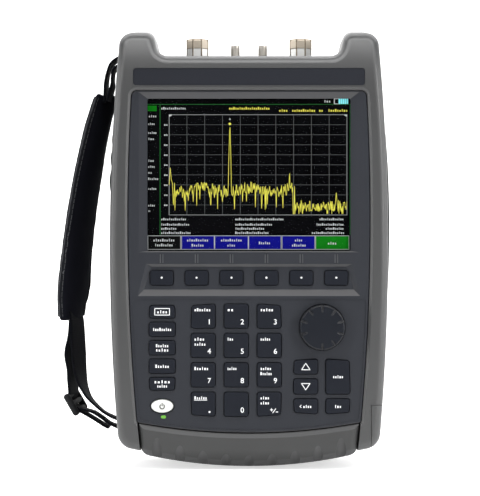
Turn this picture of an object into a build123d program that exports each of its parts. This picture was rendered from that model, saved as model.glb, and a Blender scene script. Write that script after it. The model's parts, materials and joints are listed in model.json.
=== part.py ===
from build123d import *
from math import cos, hypot, radians, sin, sqrt
import os

os.makedirs("parts", exist_ok=True)

# Handheld analyzer, in millimetres. X runs to the viewer's right, Y to the back, Z up.
# The origin is the middle of the flat on which the bottom bumper stands.
# A level is a distance in front of the middle plane, so the front has the largest levels.

# Whole case
case_depth = 72.0
body_height = 292.0
ear_height = 20.0
waist_height = 165.0
foot_height = 15.0
hull_floor = 5.5
top_half_width = 84.4
waist_half_width = 91.6
foot_half_width = 85.8
ear_width = 19.9
ear_slope = 5.0
ear_draft = 5.5
ear_draft_depth = 36.0
ear_outer_radius = 9.0
ear_inner_radius = 6.5
notch_radius = 8.0
foot_radius = 11.0
overrun = 1.0
seat_gap = 0.3
fine_gap = 0.1

# Front bezel
bezel_depth = 18.0
rim_radius = 5.5
opening_chamfer = 1.6
panel_ledge = 3.0
panel_gap = 0.25

# Front panel
panel_recess = 2.0
panel_thickness = 4.0
top_band = 23.0
top_side_band = 10.886
waist_side_band = 11.836
foot_side_band = 13.559
panel_waist_drop = 74.0
panel_end_height = 31.0
panel_foot_height = 24.3
panel_top_radius = 4.0
panel_foot_radius = 1.5
panel_edge = 0.5

# Name plate in the top band of the bezel
plate_inset = 1.2
plate_height = 11.2
plate_thickness = 1.0
plate_recess = 1.3
plate_radius = 2.0
plate_rise = 3.2

# Screen
window_side = 6.8
window_drop = 5.3
window_rise = 8.5
window_radius = 1.3
window_margin = 2.5
window_thickness = 2.2
bevel_side = 5.6
bevel_top = 4.2
bevel_foot = 0.8
bevel_depth = 1.2
display_border = 6.0
display_lap = 1.7
display_thickness = 8.0

# Keys
key_gap = 0.45
key_rise = 1.3
key_radius = 1.5
key_edge = 0.5
key_trim = 1.1
key_travel = 1.0
travel_spare = 0.3
flange_width = 1.0
flange_thickness = 1.0
pusher_radius = 1.8
pusher_height = 0.2
softkey_margin = 4.75
softkey_rise = 11.9
softkey_space = 7.85
softkey_height = 9.5
softkey_count = 6
function_column_share = -0.77446
function_drop = 7.9
function_lift = 24.8
function_width = 17.0
function_space = 2.9
function_count = 5
number_column_share = -0.40897
number_pitch_share = 0.29484
number_drop = 11.3
number_lift = 11.9
number_space_across = 6.0
number_space_down = 3.6
number_names = ("1", "2", "3", "4", "5", "6", "7", "8", "9", "point", "0", "sign")
number_columns = 3
number_rows = 4
arrow_column_share = 0.50544
arrow_right_share = 0.79348
arrow_pitch_down = 13.1
arrow_lift = 10.5
arrow_space_across = 5.5
arrow_space_down = 3.3
arrow_row_count = 3

# Soft key tray and the marks that lead to it from the screen
tray_height = 21.0
tray_lift = 1.9
tray_top_margin = 11.549
tray_foot_margin = 5.782
tray_depth = 1.8
tray_side_slope = 4.0
tray_foot_slope = 4.2
mark_width = 2.4
mark_length = 6.4
mark_depth = 0.5

# Keypad field
field_margin = 1.6
field_top = 112.1
field_radius = 3.0
field_depth = 0.5

# Power button and lamp
power_lift = 10.7
power_width = 14.4
power_height = 8.5
power_ring = 1.0
power_ring_depth = 0.8
lamp_shift = 0.8
lamp_lift = 3.5
lamp_width = 3.3
lamp_height = 2.0
lamp_gap = 0.1

# Rotary knob
knob_column_share = 0.65218
knob_top_gap = 4.0
knob_foot_gap = 6.1
knob_depth = 7.6
knob_gap = 0.8
knob_lift = 0.4
knob_edge = 1.2
knob_well_depth = 1.0
flute_count = 10
flute_radius = 1.1
flute_length = 3.0
shaft_radius = 3.0
shaft_fit = 0.05
bushing_wall = 1.2
bushing_gap = 0.25
encoder_size = 13.0
shaft_cap = 2.0

# Keypad mat and key board
mat_thickness = 1.2
mat_inset = 1.2
board_gap = 1.2
key_board_rise = 4.5
key_board_thickness = 1.6
boss_radius = 2.2
boss_gap = 0.4
boss_rise = 1.4
boss_lift = 6.5

# Rear housing
side_wall = 4.0
back_wall = 8.0
rear_radius = 7.0
cavity_floor = 19.0
cavity_drop = 20.0
pad_height = 2.5

# Connector bay and plate between the ears
bay_margin = 6.5
bay_back_wall = 11.0
connector_drop = 8.0
connector_plate_thickness = 3.0
bay_ledge = 4.0

# Coaxial connectors
port_margin = 18.0
port_row = -3.0
port_radius = 7.94
port_thread = 12.4
port_neck_radius = 6.9
port_neck = 8.0
port_flange = 21.0
port_flange_thickness = 2.6
port_bore = 4.2
port_bore_depth = 8.0
port_pin = 1.2
port_tail_radius = 5.5
sma_column = 9.3
sma_radius = 3.175
sma_thread = 11.0
sma_nut = 9.0
sma_nut_thickness = 8.0
sma_bore = 2.3
sma_bore_depth = 4.0
sma_pin = 0.65
sma_tail_radius = 2.6

# Case screws
screw_inset = 8.69
screw_rise = 10.0
screw_foot = 58.0
screw_radius = 1.5
screw_head_radius = 3.0
screw_head_height = 2.4
screw_grip = 8.0
screw_gap = 0.25
post_radius = 6.0

# Main board, radio module and battery
main_board_gap = 0.4
main_board_foot = 52.0
main_board_drop = 6.0
main_board_thickness = 1.6
standoff_height = 12.0
standoff_radius = 3.5
standoff_inset = 7.0
radio_half = 50.0
radio_height = 70.0
radio_depth = 21.0
battery_length = 128.0
battery_height = 19.0
battery_depth = 38.0
battery_edge = 3.0

# Battery door in the lower right corner
door_inset = 5.4
door_top = 42.3
door_rear = 19.5
door_gap = 0.3
door_wall = 3.6

# Side grips and the port door
grip_inset = 6.0
grip_depth = 27.0
grip_drop = 42.0
grip_length = 152.0
lower_grip_share = 0.686
grip_seat = 1.6
grip_rise = 2.6
grip_end_rise = 0.9
notch_shares = (0.556, 0.666, 0.755, 0.837)
scallop_depth = 1.2
hinge_pin_radius = 1.25
hinge_fit = 0.05
port_door_drop = 28.0
port_door_length = 110.0
port_door_thickness = 5.0
port_door_lap = 6.0
port_frame_depth = 6.0
port_frame_rim = 5.0
port_inset = 1.6
hinge_room = 1.2
mouth_lip = 4.0
hinge_grip = 5.0

# Side sockets
socket_length = 18.0
socket_wall = 1.3
lan_width = 16.0
lan_height = 13.5
usb_width = 14.6
usb_height = 8.0
socket_pitch = 24.0
socket_mouth = 11.0
lan_drop = 27.0

# Tilt stand on the back
stand_width = 76.0
stand_height = 118.0
stand_thickness = 4.4
stand_hinge_height = 186.0
stand_gap = 0.4
stand_radius = 9.0
stand_pin = 12.0
stand_notch = 26.0
notch_reach = 7.0

# Rear pads
rear_pad_width = 26.0
rear_pad_height = 11.0
rear_pad_column = 62.0
rear_pad_drop = 6.0
rear_pad_foot = 40.0
rear_pad_sink = 1.0
rear_pad_radius = 3.0

# Bottom bumper
bumper_inset = 0.7
bumper_taper = 2.3
bumper_gap = 0.4
bumper_lip = 0.8
bumper_end_height = 7.4
bumper_flat = 0.5
bumper_corner = 6.0
bumper_rear = 4.5
bumper_draft = 3.4
bumper_draft_depth = 22.0
bumper_bevel = 2.8
bumper_edge = 5.0
groove_margin = 10.2
groove_count = 9
groove_radius = 3.7
groove_depth = 3.2
groove_rise = 6.0
groove_end_rise = 12.0

# Hand strap: places are shares of its reach beyond the case and of the span between its bars
strap_row = 4.0
strap_width = 19.0
strap_thickness = 1.4
strap_reach = 34.0
bar_radius = 1.8
bar_gap = 0.1
bar_inset = 5.0
upper_bar_drop = 20.2
lower_bar_height = 26.5
strap_slot_height = 11.0
strap_slot_width = 23.0
strap_slot_wall = 3.0
sleeve_width = 36.0
sleeve_thickness = 7.4
sleeve_edge_share = 0.5
sleeve_twist = 13.0
sleeve_top_shares = (0.160, 0.906)
sleeve_middle_shares = (0.597, 0.634)
sleeve_end_shares = (0.853, 0.293)
sleeve_width_shares = (0.62, 0.84, 0.95, 1.0, 1.0, 1.0, 1.0, 0.96, 0.86)
sleeve_thickness_shares = (0.62, 0.9, 1.0, 1.0, 1.0, 1.0, 1.0, 1.0, 0.8)
sleeve_step_shares = (0, 0.04, 0.15, 0.35, 0.5, 0.65, 0.85, 0.96, 1)
outer_leg_shares = ((0.044, 0.995), (0.126, 0.968), (0.159, 0.938), (0.159, 0.911))
inner_leg_shares = ((0.0, 0.978), (0.03, 0.957), (0.03, 0.935), (0.077, 0.911))
leg_twists = (0, 1, 3, 6)
main_band_shares = (
    (0.747, 0.2895), (0.732, 0.242), (0.718, 0.192), (0.694, 0.155), (0.647, 0.118),
    (0.585, 0.093), (0.488, 0.068), (0.321, 0.044), (0.153, 0.026),
)
main_band_twists = (19, 21, 24, 22, 18, 12, 6, 2, 0)
buckle_band_shares = (
    (0.83, 0.2895), (0.84, 0.242), (0.888, 0.192), (0.86, 0.155), (0.845, 0.118),
)
buckle_band_twists = (16, 18, 20, 16, 8)
return_band_shares = ((0.65, 0.0405), (0.42, 0.031), (0.224, 0.014), (0.10, 0.001))
tail_shares = ((0.70, 0.035), (0.597, 0.0285), (0.385, 0.0115), (0.188, -0.006), (0.091, -0.012))
buckle_share = (0.806, 0.0535)
buckle_length = 16.0
buckle_width = 26.0
buckle_thickness = 2.2
buckle_slot = 4.0
buckle_slot_share = 0.22
buckle_tilt = 64.0
buckle_radius = 2.0

# Levels worked out from the sizes above
rim_level = case_depth / 2
back_level = pad_height - case_depth / 2
split_level = rim_level - bezel_depth
panel_level = rim_level - panel_recess
panel_back = panel_level - panel_thickness
field_level = panel_level - field_depth
tray_level = panel_level - tray_depth
cavity_back = back_level + back_wall
flange_front = panel_back - fine_gap
flange_back = flange_front - flange_thickness
pusher_level = flange_back - pusher_height
mat_level = pusher_level - key_travel - travel_spare
key_board_level = mat_level - mat_thickness
key_board_back = key_board_level - key_board_thickness
main_board_back = cavity_back + standoff_height
main_board_level = main_board_back + main_board_thickness
window_level = panel_back + window_thickness + seat_gap
bay_back = back_level + bay_back_wall
hinge_axis_level = back_level + stand_thickness / 2 + fine_gap
draft_level = rim_level - ear_draft_depth
split_draft = ear_draft * (split_level - draft_level) / ear_draft_depth
bumper_draft_level = rim_level - bumper_draft_depth
grip_front = split_level - grip_inset
grip_back = grip_front - grip_depth
door_back = back_level + door_rear
bumper_back = back_level + bumper_rear

# Heights worked out from the top of the case downwards
sill_height = body_height - ear_height
upper_bar_height = body_height - upper_bar_drop
connector_plate_top = sill_height - connector_drop
cavity_top = sill_height - cavity_drop
main_board_top = cavity_top - main_board_drop
radio_foot = main_board_top - radio_height
rear_pad_top = cavity_top - rear_pad_drop
panel_top = sill_height - top_band
panel_waist_height = panel_top - panel_waist_drop
grip_top = body_height - grip_drop
grip_foot = grip_top - grip_length
port_door_top = grip_top - port_door_drop
port_door_foot = port_door_top - port_door_length
screw_top = port_door_top + screw_rise
lan_row = port_door_top - lan_drop

# Heights of the keys and the screen, worked out from the keypad field
tray_foot = field_top + tray_lift
tray_top = tray_foot + tray_height
softkey_row = tray_foot + softkey_rise
key_board_top = tray_top + key_board_rise
window_foot = tray_top + window_rise
window_height = panel_top - window_drop - window_foot
window_middle = window_foot + window_height / 2
display_height = window_height + 2 * display_lap
boss_top = field_top + boss_rise
boss_foot = panel_end_height + boss_lift
function_top = field_top - function_drop
function_foot = panel_end_height + function_lift
function_pitch = (function_top - function_foot) / (function_count - 1)
function_height = function_pitch - function_space
number_top = field_top - number_drop
number_foot = panel_end_height + number_lift
number_pitch_down = (number_top - number_foot) / (number_rows - 1)
number_height = number_pitch_down - number_space_down
arrow_top = panel_end_height + arrow_lift + (arrow_row_count - 1) * arrow_pitch_down
arrow_height = arrow_pitch_down - arrow_space_down
knob_top_row = field_top - knob_top_gap
knob_foot_row = arrow_top + arrow_height / 2 + knob_foot_gap
knob_radius = (knob_top_row - knob_foot_row) / 2
knob_height = (knob_top_row + knob_foot_row) / 2
power_row = panel_end_height + power_lift
lamp_row = panel_end_height + lamp_lift


def front_plane(level):
    """A plane that faces the viewer, with X to the right and Z up."""
    return Plane.XZ.offset(level)


def arc_side(top, middle, foot):
    """Half-width at a height, on the circle through three (half-width, height) points."""
    (ax, az), (bx, bz), (cx, cz) = top, middle, foot
    turn = 2 * (ax * (bz - cz) + bx * (cz - az) + cx * (az - bz))
    a2, b2, c2 = ax**2 + az**2, bx**2 + bz**2, cx**2 + cz**2
    centre_x = (a2 * (bz - cz) + b2 * (cz - az) + c2 * (az - bz)) / turn
    centre_z = (a2 * (cx - bx) + b2 * (ax - cx) + c2 * (bx - ax)) / turn
    radius = hypot(ax - centre_x, az - centre_z)
    bulge = 1 if bx > centre_x else -1
    return lambda height: centre_x + bulge * sqrt(radius**2 - (height - centre_z) ** 2)


case_side = arc_side(
    (top_half_width, body_height), (waist_half_width, waist_height), (foot_half_width, foot_height)
)
panel_top_half = case_side(panel_top) - top_side_band
panel_waist_half = case_side(panel_waist_height) - waist_side_band
panel_foot_half = case_side(panel_end_height) - foot_side_band
panel_side = arc_side(
    (panel_top_half, panel_top),
    (panel_waist_half, panel_waist_height),
    (panel_foot_half, panel_end_height),
)

# Widths and columns worked out from the sides of the case and of the panel
widest_half = max(top_half_width, waist_half_width, foot_half_width)
ear_inner_top = top_half_width - ear_width
ear_inner_foot = ear_inner_top - ear_slope
bay_half = ear_inner_foot - bay_margin
port_column = bay_half - port_margin
screw_column = case_side(screw_top) - screw_inset
door_column = foot_half_width - door_inset
plate_width = 2 * (panel_top_half - plate_inset)
panel_half = min(panel_top_half, panel_waist_half, panel_foot_half)
window_width = 2 * (panel_half - window_side)
tray_top_half = panel_side(tray_top) - tray_top_margin
tray_foot_half = panel_side(tray_foot) - tray_foot_margin
softkey_pitch = 2 * (panel_half - softkey_margin) / softkey_count
softkey_width = softkey_pitch - softkey_space
function_column = panel_half * function_column_share
number_column = panel_half * number_column_share
number_pitch_across = panel_half * number_pitch_share
number_width = number_pitch_across - number_space_across
arrow_column = panel_half * arrow_column_share
arrow_right = panel_half * arrow_right_share
arrow_width = arrow_right - arrow_column - arrow_space_across
power_column = function_column
lamp_column = power_column + lamp_shift
knob_column = panel_half * knob_column_share
bumper_top_half = panel_foot_half - bumper_inset
bumper_foot_half = bumper_top_half - bumper_taper
groove_pitch = 2 * (bumper_foot_half - groove_margin) / (groove_count - 1)
port_middle = (port_door_top + port_door_foot) / 2
port_axis_column = case_side(port_middle) - port_inset - port_door_thickness / 2
port_axis_level = grip_back + port_door_thickness / 2
port_slab_inner = port_axis_column - port_door_thickness / 2
port_slab_outer = port_axis_column + port_door_thickness / 2
socket_face = port_slab_inner - seat_gap - door_gap
main_board_half = socket_face - socket_length - main_board_gap


def case_outline(plane, inset=0, drop=0):
    """Front outline of the case, its ears lowered by a drop: barrel sides and a curved foot."""
    ear_top = body_height - drop
    outer = case_side(ear_top)
    inner = ear_inner_top - ear_slope * drop / ear_height
    with BuildSketch(plane) as outline:
        with BuildLine():
            Polyline(
                (outer, ear_top),
                (inner, ear_top),
                (ear_inner_foot, sill_height),
                (-ear_inner_foot, sill_height),
                (-inner, ear_top),
                (-outer, ear_top),
            )
            ThreePointArc(
                (-outer, ear_top), (-waist_half_width, waist_height), (-foot_half_width, foot_height)
            )
            ThreePointArc((-foot_half_width, foot_height), (0, hull_floor), (foot_half_width, foot_height))
            ThreePointArc(
                (foot_half_width, foot_height), (waist_half_width, waist_height), (outer, ear_top)
            )
        make_face()
        fillet(outline.vertices().group_by(Axis.Y)[1], notch_radius)
        fillet(outline.vertices().group_by(Axis.Y)[-1].sort_by(Axis.X)[::3], ear_outer_radius)
        fillet(outline.vertices().group_by(Axis.Y)[-1].sort_by(Axis.X)[1:3], ear_inner_radius)
        fillet(outline.vertices().group_by(Axis.Y)[0], foot_radius)
        if inset:
            offset(amount=-inset)
    return outline.sketch


def panel_outline(plane, grow=0):
    """Outline of the front panel, grown or drawn in: straight top, barrel sides and a curved foot."""
    top_x, top_z = panel_top_half + grow, panel_top + grow
    waist_x = panel_waist_half + grow
    foot_x, foot_z = panel_foot_half + grow, panel_end_height - grow
    with BuildSketch(plane) as outline:
        with BuildLine():
            Line((top_x, top_z), (-top_x, top_z))
            ThreePointArc((-top_x, top_z), (-waist_x, panel_waist_height), (-foot_x, foot_z))
            ThreePointArc((-foot_x, foot_z), (0, panel_foot_height - grow), (foot_x, foot_z))
            ThreePointArc((foot_x, foot_z), (waist_x, panel_waist_height), (top_x, top_z))
        make_face()
        top_radius = max(panel_top_radius + grow, panel_foot_radius)
        fillet(outline.vertices().group_by(Axis.Y)[-1], top_radius)
        fillet(outline.vertices().group_by(Axis.Y)[0], panel_foot_radius)
    return outline.sketch


def inner_field(plane, inset, top, corner):
    """The part of the panel outline, drawn in by an inset, that lies below a height."""
    with BuildSketch(plane) as field:
        add(panel_outline(Plane.XY, -inset))
        with Locations((0, top)):
            Rectangle(
                2 * widest_half,
                panel_top,
                align=(Align.CENTER, Align.MAX),
                mode=Mode.INTERSECT,
            )
        fillet(field.vertices().group_by(Axis.Y)[-1], corner)
    return field.sketch


def cut_box(low, high):
    """A box between two corners, for a cut or a block inside a part."""
    size = [b - a for a, b in zip(low, high)]
    middle = [(a + b) / 2 for a, b in zip(low, high)]
    return Pos(*middle) * Box(*size, mode=Mode.PRIVATE)


def save(piece, name):
    """Label a finished piece and write its file."""
    piece.part.label = name
    export_step(piece.part, f"parts/{name}.step")


# Table of the keys: name, place, size, level of the face, and the corners trimmed off the block
keys = []
for column in range(softkey_count):
    place = ((column - (softkey_count - 1) / 2) * softkey_pitch, softkey_row)
    size = (softkey_width, softkey_height)
    keys.append((f"softkey_{column + 1}", place, size, tray_level, ()))
function_trims = {0: ("top left", "top right"), function_count - 1: ("foot left", "foot right")}
for row in range(function_count):
    place = (function_column, function_top - row * function_pitch)
    size = (function_width, function_height)
    keys.append((f"function_key_{row + 1}", place, size, field_level, function_trims.get(row, ())))
number_trims = {"1": ("top left",), "3": ("top right",), "point": ("foot left",), "sign": ("foot right",)}
for index, word in enumerate(number_names):
    row, column = divmod(index, number_columns)
    place = (number_column + column * number_pitch_across, number_top - row * number_pitch_down)
    size = (number_width, number_height)
    keys.append((f"number_key_{word}", place, size, field_level, number_trims.get(word, ())))
arrow_rows = [arrow_top - row * arrow_pitch_down for row in range(arrow_row_count)]
arrow_size = (arrow_width, arrow_height)
enter_size = (arrow_width, arrow_height + arrow_pitch_down)
enter_place = (arrow_right, (arrow_rows[0] + arrow_rows[1]) / 2)
keys.append(("up_key", (arrow_column, arrow_rows[0]), arrow_size, field_level, ("top left",)))
keys.append(("down_key", (arrow_column, arrow_rows[1]), arrow_size, field_level, ()))
keys.append(("back_key", (arrow_column, arrow_rows[2]), arrow_size, field_level, ("foot left",)))
keys.append(("enter_key", enter_place, enter_size, field_level, ("top right",)))
keys.append(("escape_key", (arrow_right, arrow_rows[2]), arrow_size, field_level, ("foot right",)))


def key_outline(plane, place, size, trims, grow=0):
    """Rounded key outline; the outer corners of a block of keys are trimmed a little."""
    corners = []
    for word, across, up in (
        ("top left", -1, 1),
        ("top right", 1, 1),
        ("foot right", 1, -1),
        ("foot left", -1, -1),
    ):
        trim = key_trim if word in trims else 0
        corners.append((place[0] + across * (size[0] / 2 - trim / 2), place[1] + up * (size[1] / 2 - trim)))
    with BuildSketch(plane) as outline:
        with BuildLine():
            Polyline(*corners, close=True)
        make_face()
        fillet(outline.vertices(), key_radius)
        if grow:
            offset(amount=grow)
    return outline.sketch


def power_outline(plane, grow=0):
    """Oval of the power button."""
    with BuildSketch(plane) as outline:
        with Locations((power_column, power_row)):
            Ellipse(power_width / 2 + grow, power_height / 2 + grow)
    return outline.sketch


def lamp_outline(plane, grow=0):
    """Small flat oval of the power lamp."""
    with BuildSketch(plane) as outline:
        with Locations((lamp_column, lamp_row)):
            SlotOverall(lamp_width + 2 * grow, lamp_height + 2 * grow)
    return outline.sketch


def disc(plane, place, radius):
    """A round face at a place on a plane."""
    with BuildSketch(plane) as face:
        with Locations(place):
            Circle(radius)
    return face.sketch


screw_places = [
    (side * screw_column, height) for side in (-1, 1) for height in (screw_foot, screw_top)
]
boss_columns = (
    (function_column + number_column) / 2,
    (number_column + (number_columns - 1) * number_pitch_across + arrow_column) / 2,
)
boss_places = [(column, height) for column in boss_columns for height in (boss_foot, boss_top)]
plate_height_middle = panel_top + plate_rise + plate_height / 2


def battery_corner(grow):
    """Space of the battery door's corner, grown on the sides that meet the case."""
    low = (door_column - grow, -rim_level - overrun, -overrun)
    high = (widest_half + overrun, -door_back + grow, door_top + grow)
    return cut_box(low, high)


def bumper_space(plane, rise=0):
    """Front outline of the bumper, from its curved top to its curved bottom, which a rise lifts."""
    top_end = panel_end_height - bumper_lip
    top_middle = panel_foot_height - bumper_lip
    with BuildSketch(plane) as outline:
        with BuildLine():
            ThreePointArc((-bumper_top_half, top_end), (0, top_middle), (bumper_top_half, top_end))
            foot_end = bumper_end_height + rise
            Line((bumper_top_half, top_end), (bumper_foot_half, foot_end))
            ThreePointArc(
                (bumper_foot_half, foot_end), (0, rise - bumper_flat), (-bumper_foot_half, foot_end)
            )
            Line((-bumper_foot_half, foot_end), (-bumper_top_half, top_end))
        make_face()
        fillet(outline.vertices().group_by(Axis.Y)[0], bumper_corner)
    return outline.sketch


# Front bezel: the outer frame with the ears, open at the foot for the bumper
with BuildPart() as front_bezel:
    split_outline = case_outline(front_plane(split_level), drop=split_draft)
    loft([split_outline, case_outline(front_plane(rim_level), drop=ear_draft)], ruled=True)
    fillet(front_bezel.faces().sort_by(Axis.Y)[0].edges(), rim_radius)
    extrude(
        panel_outline(front_plane(panel_back), panel_gap),
        amount=rim_level - panel_back,
        mode=Mode.SUBTRACT,
    )
    extrude(
        panel_outline(front_plane(split_level), -panel_ledge),
        amount=bezel_depth,
        mode=Mode.SUBTRACT,
    )
    chamfer(front_bezel.faces().sort_by(Axis.Y)[0].inner_wires()[0].edges(), opening_chamfer)
    with BuildSketch(front_plane(rim_level)):
        with Locations((0, plate_height_middle)):
            RectangleRounded(
                plate_width + 2 * fine_gap, plate_height + 2 * fine_gap, plate_radius + fine_gap
            )
    extrude(amount=-plate_recess, mode=Mode.SUBTRACT)
    with BuildSketch(front_plane(split_level)):
        with Locations(*screw_places):
            Circle(screw_radius + fine_gap)
    extrude(amount=screw_grip + overrun, mode=Mode.SUBTRACT)
    with BuildSketch(front_plane(split_level - overrun)):
        with BuildLine():
            Polyline(
                (-bumper_top_half - bumper_gap, panel_end_height + panel_ledge + overrun),
                (bumper_top_half + bumper_gap, panel_end_height + panel_ledge + overrun),
                (bumper_top_half + bumper_gap, panel_end_height - bumper_lip),
                (bumper_foot_half + bumper_gap, bumper_end_height),
                (bumper_foot_half + bumper_gap, -overrun),
                (-bumper_foot_half - bumper_gap, -overrun),
                (-bumper_foot_half - bumper_gap, bumper_end_height),
                (-bumper_top_half - bumper_gap, panel_end_height - bumper_lip),
                close=True,
            )
        make_face()
    extrude(amount=bezel_depth + 2 * overrun, mode=Mode.SUBTRACT)
    add(battery_corner(door_gap), mode=Mode.SUBTRACT)
save(front_bezel, "front_bezel")

# Name plate: a bare dark strip in its recess
with BuildPart() as name_plate:
    with BuildSketch(front_plane(rim_level - plate_recess)):
        with Locations((0, plate_height_middle)):
            RectangleRounded(plate_width, plate_height, plate_radius)
    extrude(amount=plate_thickness)
save(name_plate, "name_plate")

# Front panel: screen frame, soft key tray, keypad field, key holes and the posts of the key board
with BuildPart() as front_panel:
    extrude(panel_outline(front_plane(panel_back)), amount=panel_thickness)
    chamfer(front_panel.faces().sort_by(Axis.Y)[0].edges(), panel_edge)
    with BuildSketch(front_plane(panel_level)):
        with Locations((0, window_foot - bevel_foot)):
            Rectangle(
                window_width + 2 * bevel_side,
                window_height + bevel_top + bevel_foot,
                align=(Align.CENTER, Align.MIN),
            )
    with BuildSketch(front_plane(panel_level - bevel_depth)):
        with Locations((0, window_foot)):
            Rectangle(window_width, window_height, align=(Align.CENTER, Align.MIN))
    loft(mode=Mode.SUBTRACT)
    with BuildSketch(front_plane(panel_back)):
        with Locations((0, window_middle)):
            RectangleRounded(window_width, window_height, window_radius)
    extrude(amount=panel_thickness, mode=Mode.SUBTRACT)
    with BuildSketch(front_plane(panel_back)):
        with Locations((0, window_middle)):
            RectangleRounded(
                window_width + 2 * window_margin + 2 * seat_gap,
                window_height + 2 * window_margin + 2 * seat_gap,
                window_margin + seat_gap,
            )
    extrude(amount=window_level - panel_back, mode=Mode.SUBTRACT)
    with BuildSketch(front_plane(panel_level)):
        with BuildLine():
            Polyline(
                (-tray_top_half, tray_top),
                (tray_top_half, tray_top),
                (tray_foot_half, tray_foot),
                (-tray_foot_half, tray_foot),
                close=True,
            )
        make_face()
    with BuildSketch(front_plane(tray_level)):
        with BuildLine():
            Polyline(
                (-tray_top_half + tray_side_slope, tray_top - tray_depth),
                (tray_top_half - tray_side_slope, tray_top - tray_depth),
                (tray_foot_half - tray_side_slope, tray_foot + tray_foot_slope),
                (-tray_foot_half + tray_side_slope, tray_foot + tray_foot_slope),
                close=True,
            )
        make_face()
    loft(mode=Mode.SUBTRACT)
    with BuildSketch(front_plane(panel_level)):
        with Locations((0, tray_top)):
            with GridLocations(softkey_pitch, 0, softkey_count, 1):
                Rectangle(mark_width, mark_length, align=(Align.CENTER, Align.MIN))
    extrude(amount=-mark_depth, mode=Mode.SUBTRACT)
    extrude(
        inner_field(front_plane(field_level), field_margin, field_top, field_radius),
        amount=field_depth,
        mode=Mode.SUBTRACT,
    )
    for name, place, size, level, trims in keys:
        extrude(
            key_outline(front_plane(panel_back), place, size, trims, key_gap),
            amount=panel_thickness,
            mode=Mode.SUBTRACT,
        )
    extrude(power_outline(front_plane(panel_back), key_gap), amount=panel_thickness, mode=Mode.SUBTRACT)
    extrude(
        power_outline(front_plane(field_level - power_ring_depth), power_ring),
        amount=power_ring_depth,
        mode=Mode.SUBTRACT,
    )
    extrude(lamp_outline(front_plane(panel_back), lamp_gap), amount=panel_thickness, mode=Mode.SUBTRACT)
    knob_place = (knob_column, knob_height)
    extrude(
        disc(front_plane(field_level), knob_place, knob_radius + knob_gap),
        amount=-knob_well_depth,
        mode=Mode.SUBTRACT,
    )
    extrude(
        disc(front_plane(panel_back), knob_place, shaft_radius + bushing_wall + bushing_gap),
        amount=panel_thickness,
        mode=Mode.SUBTRACT,
    )
    with BuildSketch(front_plane(key_board_level)):
        with Locations(*boss_places):
            Circle(boss_radius)
    extrude(amount=panel_back - key_board_level)
save(front_panel, "front_panel")

# Screen window: a clear sheet held in the back of the panel
with BuildPart() as screen_window:
    with BuildSketch(front_plane(panel_back + seat_gap)):
        with Locations((0, window_middle)):
            RectangleRounded(
                window_width + 2 * window_margin, window_height + 2 * window_margin, window_margin
            )
    extrude(amount=window_thickness)
save(screen_window, "screen_window")

# Display: a framed module that lies against the back of the panel
with BuildPart() as display:
    with BuildSketch(front_plane(panel_back)):
        with Locations((0, window_middle)):
            Rectangle(window_width + 2 * display_border, display_height)
    extrude(amount=-display_thickness)
    chamfer(display.faces().sort_by(Axis.Y)[-1].edges(), display_thickness / 8)
save(display, "display")


def make_key(name, face, cap_level):
    """A key: cap with eased edges, a flange that stops behind the panel, and a pusher."""
    with BuildPart() as key:
        extrude(face(front_plane(flange_back)), amount=cap_level - flange_back)
        fillet(key.faces().sort_by(Axis.Y)[0].edges(), key_edge)
        extrude(face(front_plane(flange_back), flange_width), amount=flange_thickness)
        middle = key.part.center(CenterOf.BOUNDING_BOX)
        extrude(
            disc(front_plane(pusher_level), (middle.X, middle.Z), pusher_radius), amount=pusher_height
        )
    save(key, name)


for name, place, size, level, trims in keys:
    make_key(
        name,
        lambda plane, grow=0: key_outline(plane, place, size, trims, grow),
        level + key_rise,
    )
make_key("power_button", power_outline, field_level + key_rise)

# Power lamp: a light pipe from the key board to the face of the panel
with BuildPart() as power_lamp:
    extrude(lamp_outline(front_plane(key_board_level)), amount=field_level + fine_gap - key_board_level)
save(power_lamp, "power_lamp")

# Keypad mat: a soft sheet under the keys, cut for the posts, the encoder and the lamp
with BuildPart() as keypad_mat:
    extrude(
        inner_field(
            front_plane(key_board_level),
            panel_ledge + board_gap + mat_inset,
            key_board_top - mat_inset,
            key_radius,
        ),
        amount=mat_thickness,
    )
    with BuildSketch(front_plane(key_board_level)):
        with Locations(*boss_places):
            Circle(boss_radius + boss_gap)
        with Locations((knob_column, knob_height)):
            Rectangle(encoder_size + 2 * boss_gap, encoder_size + 2 * boss_gap)
    extrude(amount=mat_thickness, mode=Mode.SUBTRACT)
    extrude(
        lamp_outline(front_plane(key_board_level), boss_gap), amount=mat_thickness, mode=Mode.SUBTRACT
    )
save(keypad_mat, "keypad_mat")

# Key board: the switch board behind the mat
with BuildPart() as key_board:
    extrude(
        inner_field(
            front_plane(key_board_back), panel_ledge + board_gap, key_board_top, key_radius
        ),
        amount=key_board_thickness,
    )
save(key_board, "key_board")

# Rotary encoder: a body on the key board with a bushing through the panel
with BuildPart() as rotary_encoder:
    with BuildSketch(front_plane(key_board_level)):
        with Locations(knob_place):
            Rectangle(encoder_size, encoder_size)
    extrude(amount=panel_back - fine_gap - key_board_level)
    bushing_top = field_level - knob_well_depth
    extrude(
        disc(front_plane(key_board_level), knob_place, shaft_radius + bushing_wall),
        amount=bushing_top - key_board_level,
    )
    extrude(
        disc(front_plane(key_board_level), knob_place, shaft_radius + shaft_fit),
        amount=bushing_top - key_board_level,
        mode=Mode.SUBTRACT,
    )
save(rotary_encoder, "rotary_encoder")

knob_foot = field_level - knob_well_depth + knob_lift
knob_top = knob_foot + knob_depth

# Encoder shaft: runs in the bushing and carries the knob
with BuildPart() as encoder_shaft:
    shaft_foot = key_board_level + fine_gap
    extrude(
        disc(front_plane(shaft_foot), knob_place, shaft_radius),
        amount=knob_top - shaft_cap - shaft_foot,
    )
save(encoder_shaft, "encoder_shaft")

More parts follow.
